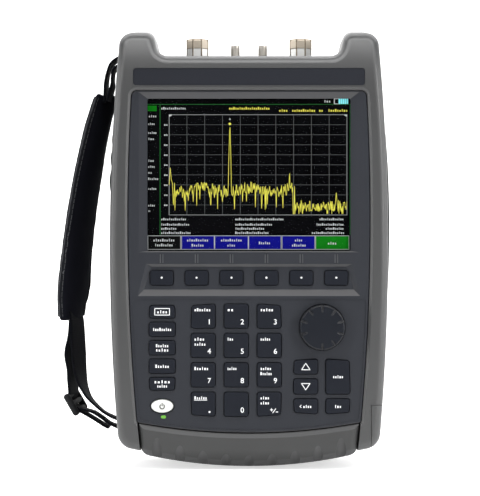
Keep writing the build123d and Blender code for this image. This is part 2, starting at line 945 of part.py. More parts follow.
# Knob: a flat disc with short flutes round the edge of its face
with BuildPart() as rotary_knob:
    extrude(disc(front_plane(knob_foot), knob_place, knob_radius), amount=knob_depth)
    fillet(rotary_knob.faces().sort_by(Axis.Y)[0].edges(), knob_edge)
    flute_reach = knob_radius - flute_length / 2
    for turn in range(flute_count):
        angle = radians(360 / flute_count * turn)
        place = (
            knob_column + flute_reach * sin(angle),
            -knob_top,
            knob_height + flute_reach * cos(angle),
        )
        axis = (sin(angle), flute_radius / flute_length, cos(angle))
        with BuildSketch(Plane(origin=place, z_dir=axis)):
            Circle(flute_radius)
        extrude(amount=flute_length, both=True, mode=Mode.SUBTRACT)
    extrude(
        disc(front_plane(knob_foot), knob_place, shaft_radius + shaft_fit / 2),
        amount=knob_depth - shaft_cap,
        mode=Mode.SUBTRACT,
    )
save(rotary_knob, "rotary_knob")


def side_profile(low, high, inner, side):
    """Closed strip along a case side, drawn in by a seat depth and open outwards, for a cut."""
    reach = widest_half + grip_rise + overrun
    middle = (low + high) / 2
    with BuildSketch(front_plane(grip_back - fine_gap)) as strip:
        with BuildLine():
            ThreePointArc(
                (side * (case_side(low) - inner), low),
                (side * (case_side(middle) - inner), middle),
                (side * (case_side(high) - inner), high),
            )
            Polyline(
                (side * (case_side(high) - inner), high),
                (side * reach, high),
                (side * reach, low),
                (side * (case_side(low) - inner), low),
            )
        make_face()
    return strip.sketch


def grip_swell(height):
    """How far a grip stands out of the case side at a height: most in the middle."""
    middle = (grip_top + grip_foot) / 2
    share = 1 - ((height - middle) / (grip_top - middle)) ** 2
    return grip_end_rise + (grip_rise - grip_end_rise) * share


def grip_profile(low, high, side, notches):
    """Grip strip: the inner face follows the case, and a finger rib fills each two notches."""
    sink = scallop_depth if notches else 0
    stops = (low, *notches, high)

    def outer(height, depth):
        return (side * (case_side(height) + grip_swell(height) - depth), height)

    def inner(height):
        return (side * (case_side(height) - grip_seat), height)

    with BuildSketch(front_plane(grip_back)) as profile:
        with BuildLine():
            for foot, head in zip(stops, stops[1:]):
                ribbed = foot in notches and head in notches
                crest = outer((foot + head) / 2, 0 if ribbed else sink)
                ThreePointArc(outer(foot, sink), crest, outer(head, sink))
            Line(outer(high, sink), inner(high))
            ThreePointArc(inner(high), inner((low + high) / 2), inner(low))
            Line(inner(low), outer(low, sink))
        make_face()
    return profile.sketch


bay_rear_level = port_axis_level - port_door_thickness / 2 - hinge_room
frame_low = port_door_foot - hinge_grip - overrun
frame_high = port_door_top + hinge_grip + overrun
lower_grip_foot = door_top + (frame_low - door_top) * lower_grip_share
grip_spans = ((lower_grip_foot, frame_low), (frame_high, grip_top))

# Left grip: one long strip under the hand strap, with finger ribs in its upper half
notch_heights = [grip_foot + grip_length * share for share in notch_shares]
with BuildPart() as left_grip:
    extrude(grip_profile(grip_foot, grip_top, -1, notch_heights), amount=grip_depth)
save(left_grip, "left_grip")

# Right grip: a smooth strip above and below the port door
with BuildPart() as right_grip:
    for low, high in grip_spans:
        extrude(grip_profile(low, high, 1, ()), amount=grip_depth)
save(right_grip, "right_grip")

# Port door: a flap with its hinge along the rear edge
with BuildPart() as port_door:
    slab_front = grip_front - door_gap
    add(
        cut_box(
            (port_slab_inner, -slab_front, port_door_foot),
            (port_slab_outer, -port_axis_level, port_door_top),
        )
    )
    with BuildSketch(Plane.XY.offset(port_door_foot)):
        with Locations((port_axis_column, -port_axis_level)):
            Circle(port_door_thickness / 2)
    extrude(amount=port_door_top - port_door_foot)
    extrude(grip_profile(port_door_foot, port_door_top, 1, ()), amount=grip_depth - door_gap)
    add(
        cut_box(
            (port_slab_outer, -port_axis_level - port_door_lap, port_door_foot - overrun),
            (widest_half + grip_rise + overrun, -grip_back + overrun, port_door_top + overrun),
        ),
        mode=Mode.SUBTRACT,
    )
    add(
        cut_box(
            (port_slab_inner, -port_axis_level, port_door_foot - overrun),
            (port_slab_outer, -grip_back + overrun, port_door_top + overrun),
        )
        - Pos(port_axis_column, -port_axis_level, (port_door_foot + port_door_top) / 2)
        * Cylinder(port_door_thickness / 2, port_door_top - port_door_foot, mode=Mode.PRIVATE),
        mode=Mode.SUBTRACT,
    )
    with BuildSketch(Plane.XY.offset(port_door_foot)):
        with Locations((port_axis_column, -port_axis_level)):
            Circle(hinge_pin_radius + hinge_fit)
    extrude(amount=port_door_top - port_door_foot, mode=Mode.SUBTRACT)
save(port_door, "port_door")


def strap_slot(bar_height, grow):
    """Pocket in the left side round a strap bar, grown for the block of wall behind it."""
    bar_column = -case_side(bar_height) + bar_inset
    inner = bar_column + strap_slot_height / 2 + grow
    half_width = strap_slot_width / 2 + grow
    return cut_box(
        (-widest_half - overrun, strap_row - half_width, bar_height - strap_slot_height / 2 - grow),
        (inner, strap_row + half_width, bar_height + strap_slot_height / 2 + grow),
    )


def stand_outline(plane, grow=0):
    """Outline of the tilt stand, with its round hinge end at the top."""
    with BuildSketch(plane) as outline:
        with Locations((0, stand_hinge_height + stand_thickness / 2 + grow)):
            Rectangle(
                stand_width + 2 * grow,
                stand_height + stand_thickness / 2 + 2 * grow,
                align=(Align.CENTER, Align.MAX),
            )
        fillet(outline.vertices().group_by(Axis.Y)[0], stand_radius)
    return outline.sketch


rear_pad_places = [
    (side * rear_pad_column, height) for side in (-1, 1) for height in (rear_pad_foot, rear_pad_top)
]
standoff_places = [
    (side * (main_board_half - standoff_inset), height)
    for side in (-1, 1)
    for height in (main_board_foot + standoff_inset, main_board_top - standoff_inset)
]
stand_foot = stand_hinge_height - stand_height
bar_heights = (lower_bar_height, upper_bar_height)

# Rear housing: a deep shell with the connector bay, strap bars, posts and the seats of the doors
with BuildPart() as rear_housing:
    extrude(case_outline(front_plane(back_level)), amount=draft_level - back_level)
    fillet(rear_housing.faces().sort_by(Axis.Y)[-1].edges(), rear_radius)
    split_outline = case_outline(front_plane(split_level), drop=split_draft)
    loft([case_outline(front_plane(draft_level)), split_outline], ruled=True)
    with BuildSketch(front_plane(cavity_back)) as cavity:
        add(case_outline(Plane.XY, side_wall))
        with Locations((0, (cavity_floor + cavity_top) / 2)):
            Rectangle(2 * widest_half, cavity_top - cavity_floor, mode=Mode.INTERSECT)
    extrude(amount=split_level - cavity_back, mode=Mode.SUBTRACT)
    # posts for the case screws and the main board
    with BuildSketch(front_plane(cavity_back)):
        with Locations(*screw_places):
            Circle(post_radius)
    extrude(amount=split_level - cavity_back)
    with BuildSketch(front_plane(cavity_back)):
        with Locations(*standoff_places):
            Circle(standoff_radius)
    extrude(amount=standoff_height)
    # frame of the side ports
    add(
        cut_box(
            (port_slab_inner - port_frame_depth, -grip_front - port_frame_rim, frame_low),
            (port_slab_outer - grip_seat, -bay_rear_level + port_frame_rim, frame_high),
        )
    )
    add(strap_slot(lower_bar_height, strap_slot_wall) & extrude(
        case_outline(front_plane(cavity_back)), amount=split_level - cavity_back, mode=Mode.PRIVATE
    ))
    # connector bay between the ears
    with BuildSketch(Plane.XY.offset(connector_plate_top - connector_plate_thickness)):
        with Locations((0, -(split_level + bay_back) / 2)):
            Rectangle(2 * bay_half, split_level - bay_back)
    extrude(amount=body_height, mode=Mode.SUBTRACT)
    with BuildSketch(Plane.XY.offset(cavity_top - overrun)):
        with Locations((0, -(split_level + bay_back) / 2)):
            Rectangle(2 * (bay_half - bay_ledge), split_level - bay_back - 2 * bay_ledge)
    extrude(amount=connector_plate_top - cavity_top, mode=Mode.SUBTRACT)
    # seats of the grips
    extrude(
        side_profile(grip_foot - fine_gap, grip_top + fine_gap, grip_seat + fine_gap, -1),
        amount=grip_depth + 2 * fine_gap,
        mode=Mode.SUBTRACT,
    )
    for low, high in grip_spans:
        extrude(
            side_profile(low - fine_gap, high + fine_gap, grip_seat + fine_gap, 1),
            amount=grip_depth + 2 * fine_gap,
            mode=Mode.SUBTRACT,
        )
    # bay of the port door, the mouth behind it and the holes of its pin
    add(
        cut_box(
            (port_slab_inner - door_gap, -grip_front, port_door_foot - door_gap),
            (widest_half + overrun, -bay_rear_level, port_door_top + door_gap),
        ),
        mode=Mode.SUBTRACT,
    )
    add(
        cut_box(
            (
                port_slab_inner - port_frame_depth - overrun,
                mouth_lip - grip_front,
                port_door_foot + mouth_lip,
            ),
            (port_slab_inner, -main_board_back, port_door_top - mouth_lip),
        ),
        mode=Mode.SUBTRACT,
    )
    with BuildSketch(Plane.XY.offset(port_door_foot - hinge_grip)):
        with Locations((port_axis_column, -port_axis_level)):
            Circle(hinge_pin_radius + fine_gap)
    extrude(amount=port_door_top - port_door_foot + 2 * hinge_grip, mode=Mode.SUBTRACT)
    # battery mouth
    add(battery_corner(door_gap), mode=Mode.SUBTRACT)
    # strap pockets with a bar across each
    for height in bar_heights:
        add(strap_slot(height, 0), mode=Mode.SUBTRACT)
        bar_place = (-case_side(height) + bar_inset, height)
        extrude(
            disc(front_plane(-strap_row), bar_place, bar_radius),
            amount=strap_slot_width / 2 + overrun,
            both=True,
        )
    # bed of the tilt stand, and the holes of its pins
    extrude(
        stand_outline(front_plane(back_level), stand_gap),
        amount=stand_thickness + stand_gap,
        mode=Mode.SUBTRACT,
    )
    with BuildSketch(front_plane(back_level)):
        with Locations((0, stand_foot - stand_gap)):
            SlotOverall(stand_notch, 2 * notch_reach)
    extrude(amount=stand_thickness + stand_gap, mode=Mode.SUBTRACT)
    with BuildSketch(Plane.YZ):
        with Locations((-hinge_axis_level, stand_hinge_height)):
            Circle(hinge_pin_radius + fine_gap)
    extrude(amount=stand_width / 2 + stand_pin / 2, both=True, mode=Mode.SUBTRACT)
    # screw holes with their counterbores, and the seats of the rear pads
    with BuildSketch(front_plane(back_level)):
        with Locations(*screw_places):
            Circle(screw_radius + screw_gap)
    extrude(amount=split_level - back_level, mode=Mode.SUBTRACT)
    with BuildSketch(front_plane(back_level)):
        with Locations(*screw_places):
            Circle(screw_head_radius + screw_gap)
    extrude(amount=screw_head_height + seat_gap, mode=Mode.SUBTRACT)
    with BuildSketch(front_plane(back_level)):
        with Locations(*rear_pad_places):
            RectangleRounded(
                rear_pad_width + 2 * fine_gap, rear_pad_height + 2 * fine_gap, rear_pad_radius
            )
    extrude(amount=rear_pad_sink, mode=Mode.SUBTRACT)
save(rear_housing, "rear_housing")

# Rear pads: four soft feet for laying the case on its back
with BuildPart() as rear_pads:
    with BuildSketch(front_plane(back_level + rear_pad_sink)):
        with Locations(*rear_pad_places):
            RectangleRounded(rear_pad_width, rear_pad_height, rear_pad_radius)
    extrude(amount=-(rear_pad_sink + pad_height))
    chamfer(rear_pads.faces().group_by(Axis.Y)[-1].edges(), rear_pad_sink / 2)
save(rear_pads, "rear_pads")

# Case screws: through the posts into the bezel
with BuildPart() as case_screws:
    head_level = back_level + seat_gap
    with BuildSketch(front_plane(head_level)):
        with Locations(*screw_places):
            Circle(screw_head_radius)
    extrude(amount=screw_head_height)
    with BuildSketch(front_plane(head_level)):
        with Locations(*screw_places):
            RegularPolygon(screw_radius, 6)
    extrude(amount=screw_head_height / 2, mode=Mode.SUBTRACT)
    with BuildSketch(front_plane(head_level + screw_head_height)):
        with Locations(*screw_places):
            Circle(screw_radius)
    extrude(amount=split_level + screw_grip - head_level - screw_head_height)
save(case_screws, "case_screws")

# Tilt stand: a flap that hangs from pins near its top edge
with BuildPart() as tilt_stand:
    stand_level = hinge_axis_level + stand_thickness / 2
    extrude(stand_outline(front_plane(stand_level)), amount=-stand_thickness)
    fillet(
        tilt_stand.edges().filter_by(Axis.X).group_by(Axis.Z)[-1], stand_thickness / 2 - fine_gap
    )
    with BuildSketch(front_plane(stand_level)):
        with Locations((0, stand_foot)):
            SlotOverall(stand_notch, notch_reach)
    extrude(amount=-stand_thickness, mode=Mode.SUBTRACT)
    with BuildSketch(Plane.YZ):
        with Locations((-hinge_axis_level, stand_hinge_height)):
            Circle(hinge_pin_radius + hinge_fit)
    extrude(amount=stand_width / 2, both=True, mode=Mode.SUBTRACT)
save(tilt_stand, "tilt_stand")

# Hinge pins: two for the tilt stand, one for the port door
with BuildPart() as hinge_pins:
    for side in (-1, 1):
        with BuildSketch(Plane.YZ.offset(side * stand_width / 2)):
            with Locations((-hinge_axis_level, stand_hinge_height)):
                Circle(hinge_pin_radius)
        extrude(amount=stand_pin / 2 - fine_gap, both=True)
    with BuildSketch(Plane.XY.offset(port_door_foot - hinge_grip + fine_gap)):
        with Locations((port_axis_column, -port_axis_level)):
            Circle(hinge_pin_radius)
    extrude(amount=port_door_top - port_door_foot + 2 * (hinge_grip - fine_gap))
save(hinge_pins, "hinge_pins")

# Battery door: the cap of the lower right corner, with a tongue that guides it
with BuildPart() as battery_door:
    extrude(case_outline(front_plane(back_level)), amount=rim_level - back_level)
    fillet(battery_door.faces().sort_by(Axis.Y)[0].edges(), rim_radius)
    add(battery_corner(0), mode=Mode.INTERSECT)
    mouth_edge = case_side(door_top) - door_wall
    add(
        cut_box(
            (door_column - overrun, -(rim_level - door_wall), cavity_floor),
            (mouth_edge, -door_back + overrun, door_top - door_wall),
        ),
        mode=Mode.SUBTRACT,
    )
save(battery_door, "battery_door")

# Battery pack: lies on the floor of the case, behind its door
battery_right = door_column - seat_gap
battery_foot = cavity_floor + fine_gap
with BuildPart() as battery_pack:
    add(
        cut_box(
            (battery_right - battery_length, -cavity_back - battery_depth, battery_foot),
            (battery_right, -cavity_back - fine_gap, battery_foot + battery_height),
        )
    )
    fillet(battery_pack.edges().filter_by(Axis.X), battery_edge)
save(battery_pack, "battery_pack")

# Main board on its standoffs, and the radio module on the board
with BuildPart() as main_board:
    with BuildSketch(front_plane(main_board_back)):
        with Locations((0, main_board_foot)):
            Rectangle(
                2 * main_board_half,
                main_board_top - main_board_foot,
                align=(Align.CENTER, Align.MIN),
            )
    extrude(amount=main_board_thickness)
save(main_board, "main_board")

with BuildPart() as radio_module:
    with BuildSketch(front_plane(main_board_level)):
        with Locations((0, radio_foot)):
            Rectangle(
                2 * radio_half, main_board_top - radio_foot, align=(Align.CENTER, Align.MIN)
            )
    extrude(amount=radio_depth)
    chamfer(radio_module.faces().sort_by(Axis.Y)[0].edges(), overrun)
save(radio_module, "radio_module")

# Side sockets: one network socket and two bus sockets on the edge of the main board
with BuildPart() as port_sockets:
    usb_size = (usb_width, usb_height)
    for index, size in enumerate(((lan_width, lan_height), usb_size, usb_size)):
        middle = lan_row - index * socket_pitch
        add(
            cut_box(
                (socket_face - socket_length, -main_board_level - size[1], middle - size[0] / 2),
                (socket_face, -main_board_level, middle + size[0] / 2),
            )
        )
        add(
            cut_box(
                (
                    socket_face - socket_mouth,
                    -main_board_level - size[1] + socket_wall,
                    middle - size[0] / 2 + socket_wall,
                ),
                (
                    socket_face + overrun,
                    -main_board_level - socket_wall,
                    middle + size[0] / 2 - socket_wall,
                ),
            ),
            mode=Mode.SUBTRACT,
        )
save(port_sockets, "port_sockets")

# Connector plate and the four coaxial connectors
plate_foot = connector_plate_top - connector_plate_thickness
port_places = [(-port_column, -port_row), (port_column, -port_row)]
sma_places = [(-sma_column, -port_row), (sma_column, -port_row)]
with BuildPart() as connector_plate:
    with BuildSketch(Plane.XY.offset(plate_foot)):
        with Locations((0, -(split_level + bay_back) / 2)):
            Rectangle(2 * (bay_half - fine_gap), split_level - bay_back - 2 * fine_gap)
        with Locations(*port_places):
            Circle(port_tail_radius + fine_gap, mode=Mode.SUBTRACT)
        with Locations(*sma_places):
            Circle(sma_tail_radius + fine_gap, mode=Mode.SUBTRACT)
    extrude(amount=connector_plate_thickness)
save(connector_plate, "connector_plate")

tail_foot = main_board_top + seat_gap


def rods(places, foot, radius, core=0):
    """Round faces at a height, each with a core left out where one is given."""
    with BuildSketch(Plane.XY.offset(foot)) as faces:
        with Locations(*places):
            Circle(radius)
            if core:
                Circle(core, mode=Mode.SUBTRACT)
    return faces.sketch


# Large connectors: square flange, neck, and a barrel with a bore round its centre pin
with BuildPart() as rf_ports:
    with BuildSketch(Plane.XY.offset(connector_plate_top)):
        with Locations(*port_places):
            RectangleRounded(port_flange, port_flange, port_flange_thickness)
    extrude(amount=port_flange_thickness)
    neck_foot = connector_plate_top + port_flange_thickness
    barrel_foot = neck_foot + port_neck
    extrude(rods(port_places, neck_foot, port_neck_radius), amount=port_neck)
    extrude(rods(port_places, barrel_foot, port_radius), amount=port_thread)
    bore_foot = barrel_foot + port_thread - port_bore_depth
    extrude(rods(port_places, bore_foot, port_bore, port_pin), amount=port_bore_depth, mode=Mode.SUBTRACT)
    extrude(rods(port_places, tail_foot, port_tail_radius), amount=connector_plate_top - tail_foot)
save(rf_ports, "rf_ports")

# Small connectors: hexagon nut and a slim barrel with a bore round its centre pin
with BuildPart() as reference_ports:
    with BuildSketch(Plane.XY.offset(connector_plate_top)):
        with Locations(*sma_places):
            RegularPolygon(sma_nut / 2, 6)
    extrude(amount=sma_nut_thickness)
    barrel_foot = connector_plate_top + sma_nut_thickness
    extrude(rods(sma_places, barrel_foot, sma_radius), amount=sma_thread)
    bore_foot = barrel_foot + sma_thread - sma_bore_depth
    extrude(rods(sma_places, bore_foot, sma_bore, sma_pin), amount=sma_bore_depth, mode=Mode.SUBTRACT)
    extrude(rods(sma_places, tail_foot, sma_tail_radius), amount=connector_plate_top - tail_foot)
save(reference_ports, "reference_ports")

# Bottom bumper: the grooved foot, thick in front and a skin under the rear housing
with BuildPart() as bottom_bumper:
    extrude(bumper_space(front_plane(bumper_back)), amount=bumper_draft_level - bumper_back)
    lifted = bumper_space(front_plane(rim_level), bumper_draft)
    loft([bumper_space(front_plane(bumper_draft_level)), lifted], ruled=True)
    with BuildSketch(front_plane(bumper_back - overrun)):
        with BuildLine():
            ThreePointArc(
                (-foot_half_width, foot_height - bumper_gap),
                (0, hull_floor - bumper_gap),
                (foot_half_width, foot_height - bumper_gap),
            )
            Polyline(
                (foot_half_width, foot_height - bumper_gap),
                (foot_half_width, panel_top),
                (-foot_half_width, panel_top),
                (-foot_half_width, foot_height - bumper_gap),
            )
        make_face()
    extrude(amount=split_level + bumper_gap - bumper_back + overrun, mode=Mode.SUBTRACT)
    chamfer(
        bottom_bumper.faces().sort_by(Axis.Y)[0].edges().group_by(Axis.Z)[-1], bumper_bevel
    )
    bottom_edges = bottom_bumper.faces().sort_by(Axis.Y)[0].edges().group_by(Axis.Z)[0]
    fillet(bottom_edges, bumper_edge)
    bottom_radius = (bumper_foot_half**2 + (bumper_end_height + bumper_flat) ** 2) / (
        2 * (bumper_end_height + bumper_flat)
    )
    for index in range(groove_count):
        across = index - (groove_count - 1) / 2
        column = across * groove_pitch
        share = (2 * across / (groove_count - 1)) ** 2
        floor = column**2 / (2 * bottom_radius) - bumper_flat + bumper_draft
        rise = groove_rise + (groove_end_rise - groove_rise) * share
        head = Vector(column, -rim_level - groove_radius, floor + rise)
        foot = Vector(column, groove_depth - rim_level - groove_radius, floor)
        slope = (foot - head).normalized()
        with BuildSketch(Plane(origin=head - slope * groove_radius, z_dir=slope)):
            Circle(groove_radius)
        extrude(amount=(foot - head).length + 2 * groove_radius, mode=Mode.SUBTRACT)
    add(
        cut_box(
            (-widest_half, -rim_level - overrun, -bumper_edge),
            (widest_half, -bumper_back + overrun, 0),
        ),
        mode=Mode.SUBTRACT,
    )
save(bottom_bumper, "bottom_bumper")

strap_span = upper_bar_height - lower_bar_height


def strap_point(shares):
    """Place of a strap point in the XZ plane from its two shares."""
    return (-widest_half - strap_reach * shares[0], lower_bar_height + strap_span * shares[1])


def strap_plane(point, tangent, twist):
    """A plane across the strap at a point; its width turns from the Y direction by a twist."""
    along = Vector(tangent[0], 0, tangent[1]).normalized()
    across = Vector(sin(radians(twist)), cos(radians(twist)), 0)
    across = across - along * across.dot(along)
    return Plane(origin=(point[0], strap_row, point[1]), x_dir=across, z_dir=along)


def ribbon(points, twists):
    """Cross sections of a band of webbing through points, turned by a twist at each."""
    sections = []
    for index, point in enumerate(points):
        before = points[max(index - 1, 0)]
        after = points[min(index + 1, len(points) - 1)]
        tangent = (after[0] - before[0], after[1] - before[1])
        with BuildSketch(strap_plane(point, tangent, twists[index])) as section:
            Rectangle(strap_width, strap_thickness)
        sections.append(section.sketch)
    return sections


def bar_place(height):
    """Middle of a strap bar in the XZ plane."""
    return (-case_side(height) + bar_inset, height)


def wrap_points(height, side):
    """Two points on the straight part of the webbing above (1) or below (-1) a bar."""
    x, z = bar_place(height)
    turn = side * (bar_radius + bar_gap + strap_thickness / 2)
    return [(x, z + turn), (x - bar_inset - strap_thickness, z + turn)]


def buckle_point(along_share, out_share):
    """Place in the XZ plane by shares of the buckle's length and thickness."""
    x, z = strap_point(buckle_share)
    tilt = radians(buckle_tilt)
    along = buckle_length * along_share
    out = buckle_thickness * out_share
    return (x + along * cos(tilt) - out * sin(tilt), z - along * sin(tilt) - out * cos(tilt))


# Strap sleeve: a padded pad with crowned faces, drawn in at both ends
with BuildPart() as strap_sleeve:
    with BuildLine(mode=Mode.PRIVATE) as sleeve_path:
        ThreePointArc(
            strap_point(sleeve_top_shares),
            strap_point(sleeve_middle_shares),
            strap_point(sleeve_end_shares),
        )
    sleeve_sections = []
    for step, wide, thick in zip(sleeve_step_shares, sleeve_width_shares, sleeve_thickness_shares):
        place = sleeve_path.line @ step
        heading = sleeve_path.line % step
        half = sleeve_width * wide / 2
        crown = sleeve_thickness * thick / 2
        edge = crown * sleeve_edge_share
        with BuildSketch(strap_plane((place.X, place.Y), (heading.X, heading.Y), sleeve_twist)) as section:
            with BuildLine():
                ThreePointArc((-half, edge), (0, crown), (half, edge))
                Line((half, edge), (half, -edge))
                ThreePointArc((half, -edge), (0, -crown), (-half, -edge))
                Line((-half, -edge), (-half, edge))
            make_face()
        sleeve_sections.append(section.sketch)
    loft(sleeve_sections)
save(strap_sleeve, "strap_sleeve")

# Strap webbing: the loops round both bars, the bands to the sleeve and the buckle, and the loose tail
with BuildPart() as strap_webbing:
    for height in bar_heights:
        x, z = bar_place(height)
        inner_turn = bar_radius + bar_gap
        outer_turn = inner_turn + strap_thickness
        reach = bar_inset + strap_thickness
        with BuildSketch(front_plane(-strap_row)):
            with Locations((x, z)):
                Circle(outer_turn)
                Rectangle(reach, 2 * outer_turn, align=(Align.MAX, Align.CENTER))
                Circle(inner_turn, mode=Mode.SUBTRACT)
                Rectangle(reach, 2 * inner_turn, align=(Align.MAX, Align.CENTER), mode=Mode.SUBTRACT)
        extrude(amount=strap_width / 2, both=True)
    upper_twists = (0, 0, *leg_twists)
    outer_leg = wrap_points(upper_bar_height, 1) + [strap_point(p) for p in outer_leg_shares]
    loft(ribbon(outer_leg, upper_twists), ruled=True)
    inner_leg = wrap_points(upper_bar_height, -1) + [strap_point(p) for p in inner_leg_shares]
    loft(ribbon(inner_leg, upper_twists), ruled=True)
    main_band = wrap_points(lower_bar_height, 1) + [strap_point(p) for p in reversed(main_band_shares)]
    loft(ribbon(main_band, (0, 0, *reversed(main_band_twists))), ruled=True)
    upper_slot = buckle_point(-buckle_slot_share, 0)
    lower_slot = buckle_point(buckle_slot_share, 0)
    buckle_band = [strap_point(p) for p in buckle_band_shares]
    buckle_band.extend((buckle_point(-buckle_slot_share * 2, -1), upper_slot))
    loft(ribbon(buckle_band, (*buckle_band_twists, 0, 0)), ruled=True)
    loft(ribbon([upper_slot, buckle_point(0, 1), lower_slot], (0, 0, 0)), ruled=True)
    return_band = [lower_slot] + [strap_point(p) for p in return_band_shares]
    return_band.extend(reversed(wrap_points(lower_bar_height, -1)))
    loft(ribbon(return_band, [0 for point in return_band]), ruled=True)
    tail = [strap_point(p) for p in tail_shares]
    loft(ribbon(tail, [0 for point in tail]), ruled=True)
save(strap_webbing, "strap_webbing")

# Strap buckle: a flat plate with two slots, round which the webbing turns
with BuildPart() as strap_buckle:
    tilt = radians(buckle_tilt)
    x, z = strap_point(buckle_share)
    buckle_plane = Plane(
        origin=(x, strap_row, z), x_dir=(0, 1, 0), z_dir=(-sin(tilt), 0, -cos(tilt))
    )
    with BuildSketch(buckle_plane):
        RectangleRounded(buckle_width, buckle_length, buckle_radius)
        with GridLocations(0, 2 * buckle_length * buckle_slot_share, 1, 2):
            RectangleRounded(
                strap_width + strap_thickness, buckle_slot, buckle_radius / 2, mode=Mode.SUBTRACT
            )
    extrude(amount=buckle_thickness / 2, both=True)
    fillet(strap_buckle.edges().filter_by(GeomType.LINE).filter_by(Axis.Y), buckle_thickness / 4)
save(strap_buckle, "strap_buckle")
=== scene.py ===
# %% [markdown]
# # A handheld analyzer, dressed
# The solids of the case, keys, knob, doors and connectors are loaded as a fixed frame.
# This lesson gives them their finishes and adds what is printed, woven, threaded or lit:
# key legends, the picture on the screen, coaxial threads and the padded hand strap.

# %% Load the frame
import bpy
import json
from math import cos, pi, radians, sin
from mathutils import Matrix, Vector

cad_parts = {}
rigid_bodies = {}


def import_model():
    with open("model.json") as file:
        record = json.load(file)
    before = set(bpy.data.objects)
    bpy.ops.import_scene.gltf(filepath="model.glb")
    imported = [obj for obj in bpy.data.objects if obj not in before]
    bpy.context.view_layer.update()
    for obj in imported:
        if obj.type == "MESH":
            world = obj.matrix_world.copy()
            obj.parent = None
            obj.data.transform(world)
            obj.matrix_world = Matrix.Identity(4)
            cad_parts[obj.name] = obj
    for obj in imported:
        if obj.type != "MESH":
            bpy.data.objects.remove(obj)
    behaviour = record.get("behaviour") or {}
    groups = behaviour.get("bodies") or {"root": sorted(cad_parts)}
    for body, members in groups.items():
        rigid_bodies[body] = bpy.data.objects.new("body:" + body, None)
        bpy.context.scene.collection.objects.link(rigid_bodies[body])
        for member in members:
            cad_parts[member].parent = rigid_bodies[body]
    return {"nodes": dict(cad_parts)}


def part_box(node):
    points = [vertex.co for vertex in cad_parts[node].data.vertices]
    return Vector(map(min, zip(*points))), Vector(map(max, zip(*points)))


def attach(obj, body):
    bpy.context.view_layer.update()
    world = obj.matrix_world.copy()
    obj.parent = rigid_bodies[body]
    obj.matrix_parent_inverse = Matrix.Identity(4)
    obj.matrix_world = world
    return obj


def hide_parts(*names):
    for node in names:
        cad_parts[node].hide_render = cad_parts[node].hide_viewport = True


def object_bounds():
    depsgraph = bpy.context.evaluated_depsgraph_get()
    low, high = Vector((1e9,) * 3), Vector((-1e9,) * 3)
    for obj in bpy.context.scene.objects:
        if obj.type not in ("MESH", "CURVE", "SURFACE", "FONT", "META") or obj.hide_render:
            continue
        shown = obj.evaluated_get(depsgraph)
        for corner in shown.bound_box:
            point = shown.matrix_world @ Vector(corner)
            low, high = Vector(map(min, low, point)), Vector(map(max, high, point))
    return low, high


bpy.ops.object.select_all(action="SELECT")
bpy.ops.object.delete()
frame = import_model()
cad_box = [list(corner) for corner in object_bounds()]
nodes = frame["nodes"]
print("nodes:", len(nodes), "box:", cad_box)

# %% [markdown]
# ## Shader maths
# A finish is easier to read as a formula than as a wiring plan. One small class wraps a node's
# socket, so that `grain * 0.2 + 0.4` adds the Math nodes by itself; a second class holds a
# material and makes any other node from its type, settings and inputs.

# %% Two helpers for finishes
class Value:
    """A socket that takes part in Python expressions."""

    def __init__(self, finish, socket):
        self.finish, self.socket = finish, socket

    def math(self, operation, other=0.0, turned=False):
        pair = (other, self) if turned else (self, other)
        return self.finish.node("ShaderNodeMath", {"operation": operation}, {0: pair[0], 1: pair[1]})

    def __add__(self, other): return self.math("ADD", other)
    def __radd__(self, other): return self.math("ADD", other)
    def __sub__(self, other): return self.math("SUBTRACT", other)
    def __rsub__(self, other): return self.math("SUBTRACT", other, True)
    def __mul__(self, other): return self.math("MULTIPLY", other)
    def __truediv__(self, other): return self.math("DIVIDE", other)
    def __gt__(self, other): return self.math("GREATER_THAN", other)
    def __lt__(self, other): return self.math("LESS_THAN", other)
    def clamped(self): return self.math("MAXIMUM", 0.0).math("MINIMUM", 1.0)


class Finish:
    """A material with one Principled shader, and the nodes that feed it."""

    def __init__(self, name, **sockets):
        self.material = bpy.data.materials.new(name)
        self.material.use_nodes = True
        self.tree = self.material.node_tree
        self.shader = next(n for n in self.tree.nodes if n.type == "BSDF_PRINCIPLED")
        for socket, constant in sockets.items():
            self.shader.inputs[socket.replace("_", " ")].default_value = constant

    def node(self, kind, settings=None, sockets=None, out=0):
        made = self.tree.nodes.new(kind)
        for key, setting in (settings or {}).items():
            setattr(made, key, setting)
        for key, source in (sockets or {}).items():
            if isinstance(source, Value):
                self.tree.links.new(source.socket, made.inputs[key])
            else:
                made.inputs[key].default_value = source
        return Value(self, made.outputs[out])

    def place(self, scale=(1, 1, 1)):
        """Object coordinates, stretched."""
        spot = self.node("ShaderNodeTexCoord", out=3)
        return self.node("ShaderNodeMapping", None, {"Vector": spot, "Scale": scale})

    def noise(self, scale, detail=2.0, stretch=(1, 1, 1)):
        return self.node("ShaderNodeTexNoise", None,
                         {"Vector": self.place(stretch), "Scale": scale, "Detail": detail})

    def blend(self, share, first, second):
        """A colour between two colours, each a tuple or another blend."""
        ends = [end if isinstance(end, Value) else (*end, 1) for end in (first, second)]
        return self.node("ShaderNodeMix", {"data_type": "RGBA"}, {0: share, 6: ends[0], 7: ends[1]}, out=2)

    def tint(self, share, first, second):
        self.feed("Base Color", self.blend(share, first, second))

    def part(self, vector, index):
        """One of a vector's three numbers."""
        return self.node("ShaderNodeSeparateXYZ", None, {"Vector": vector}, out=index)

    def feed(self, socket, value):
        self.tree.links.new(value.socket, self.shader.inputs[socket])

    def bump(self, height, strength, distance=0.0002):
        self.feed("Normal", self.node("ShaderNodeBump", None,
                  {"Height": height, "Strength": strength, "Distance": distance}))


def dress(finish, *names):
    """Put a finish on CAD nodes."""
    for name in names:
        node = nodes[name]
        node.data.materials.clear()
        node.data.materials.append(finish.material)


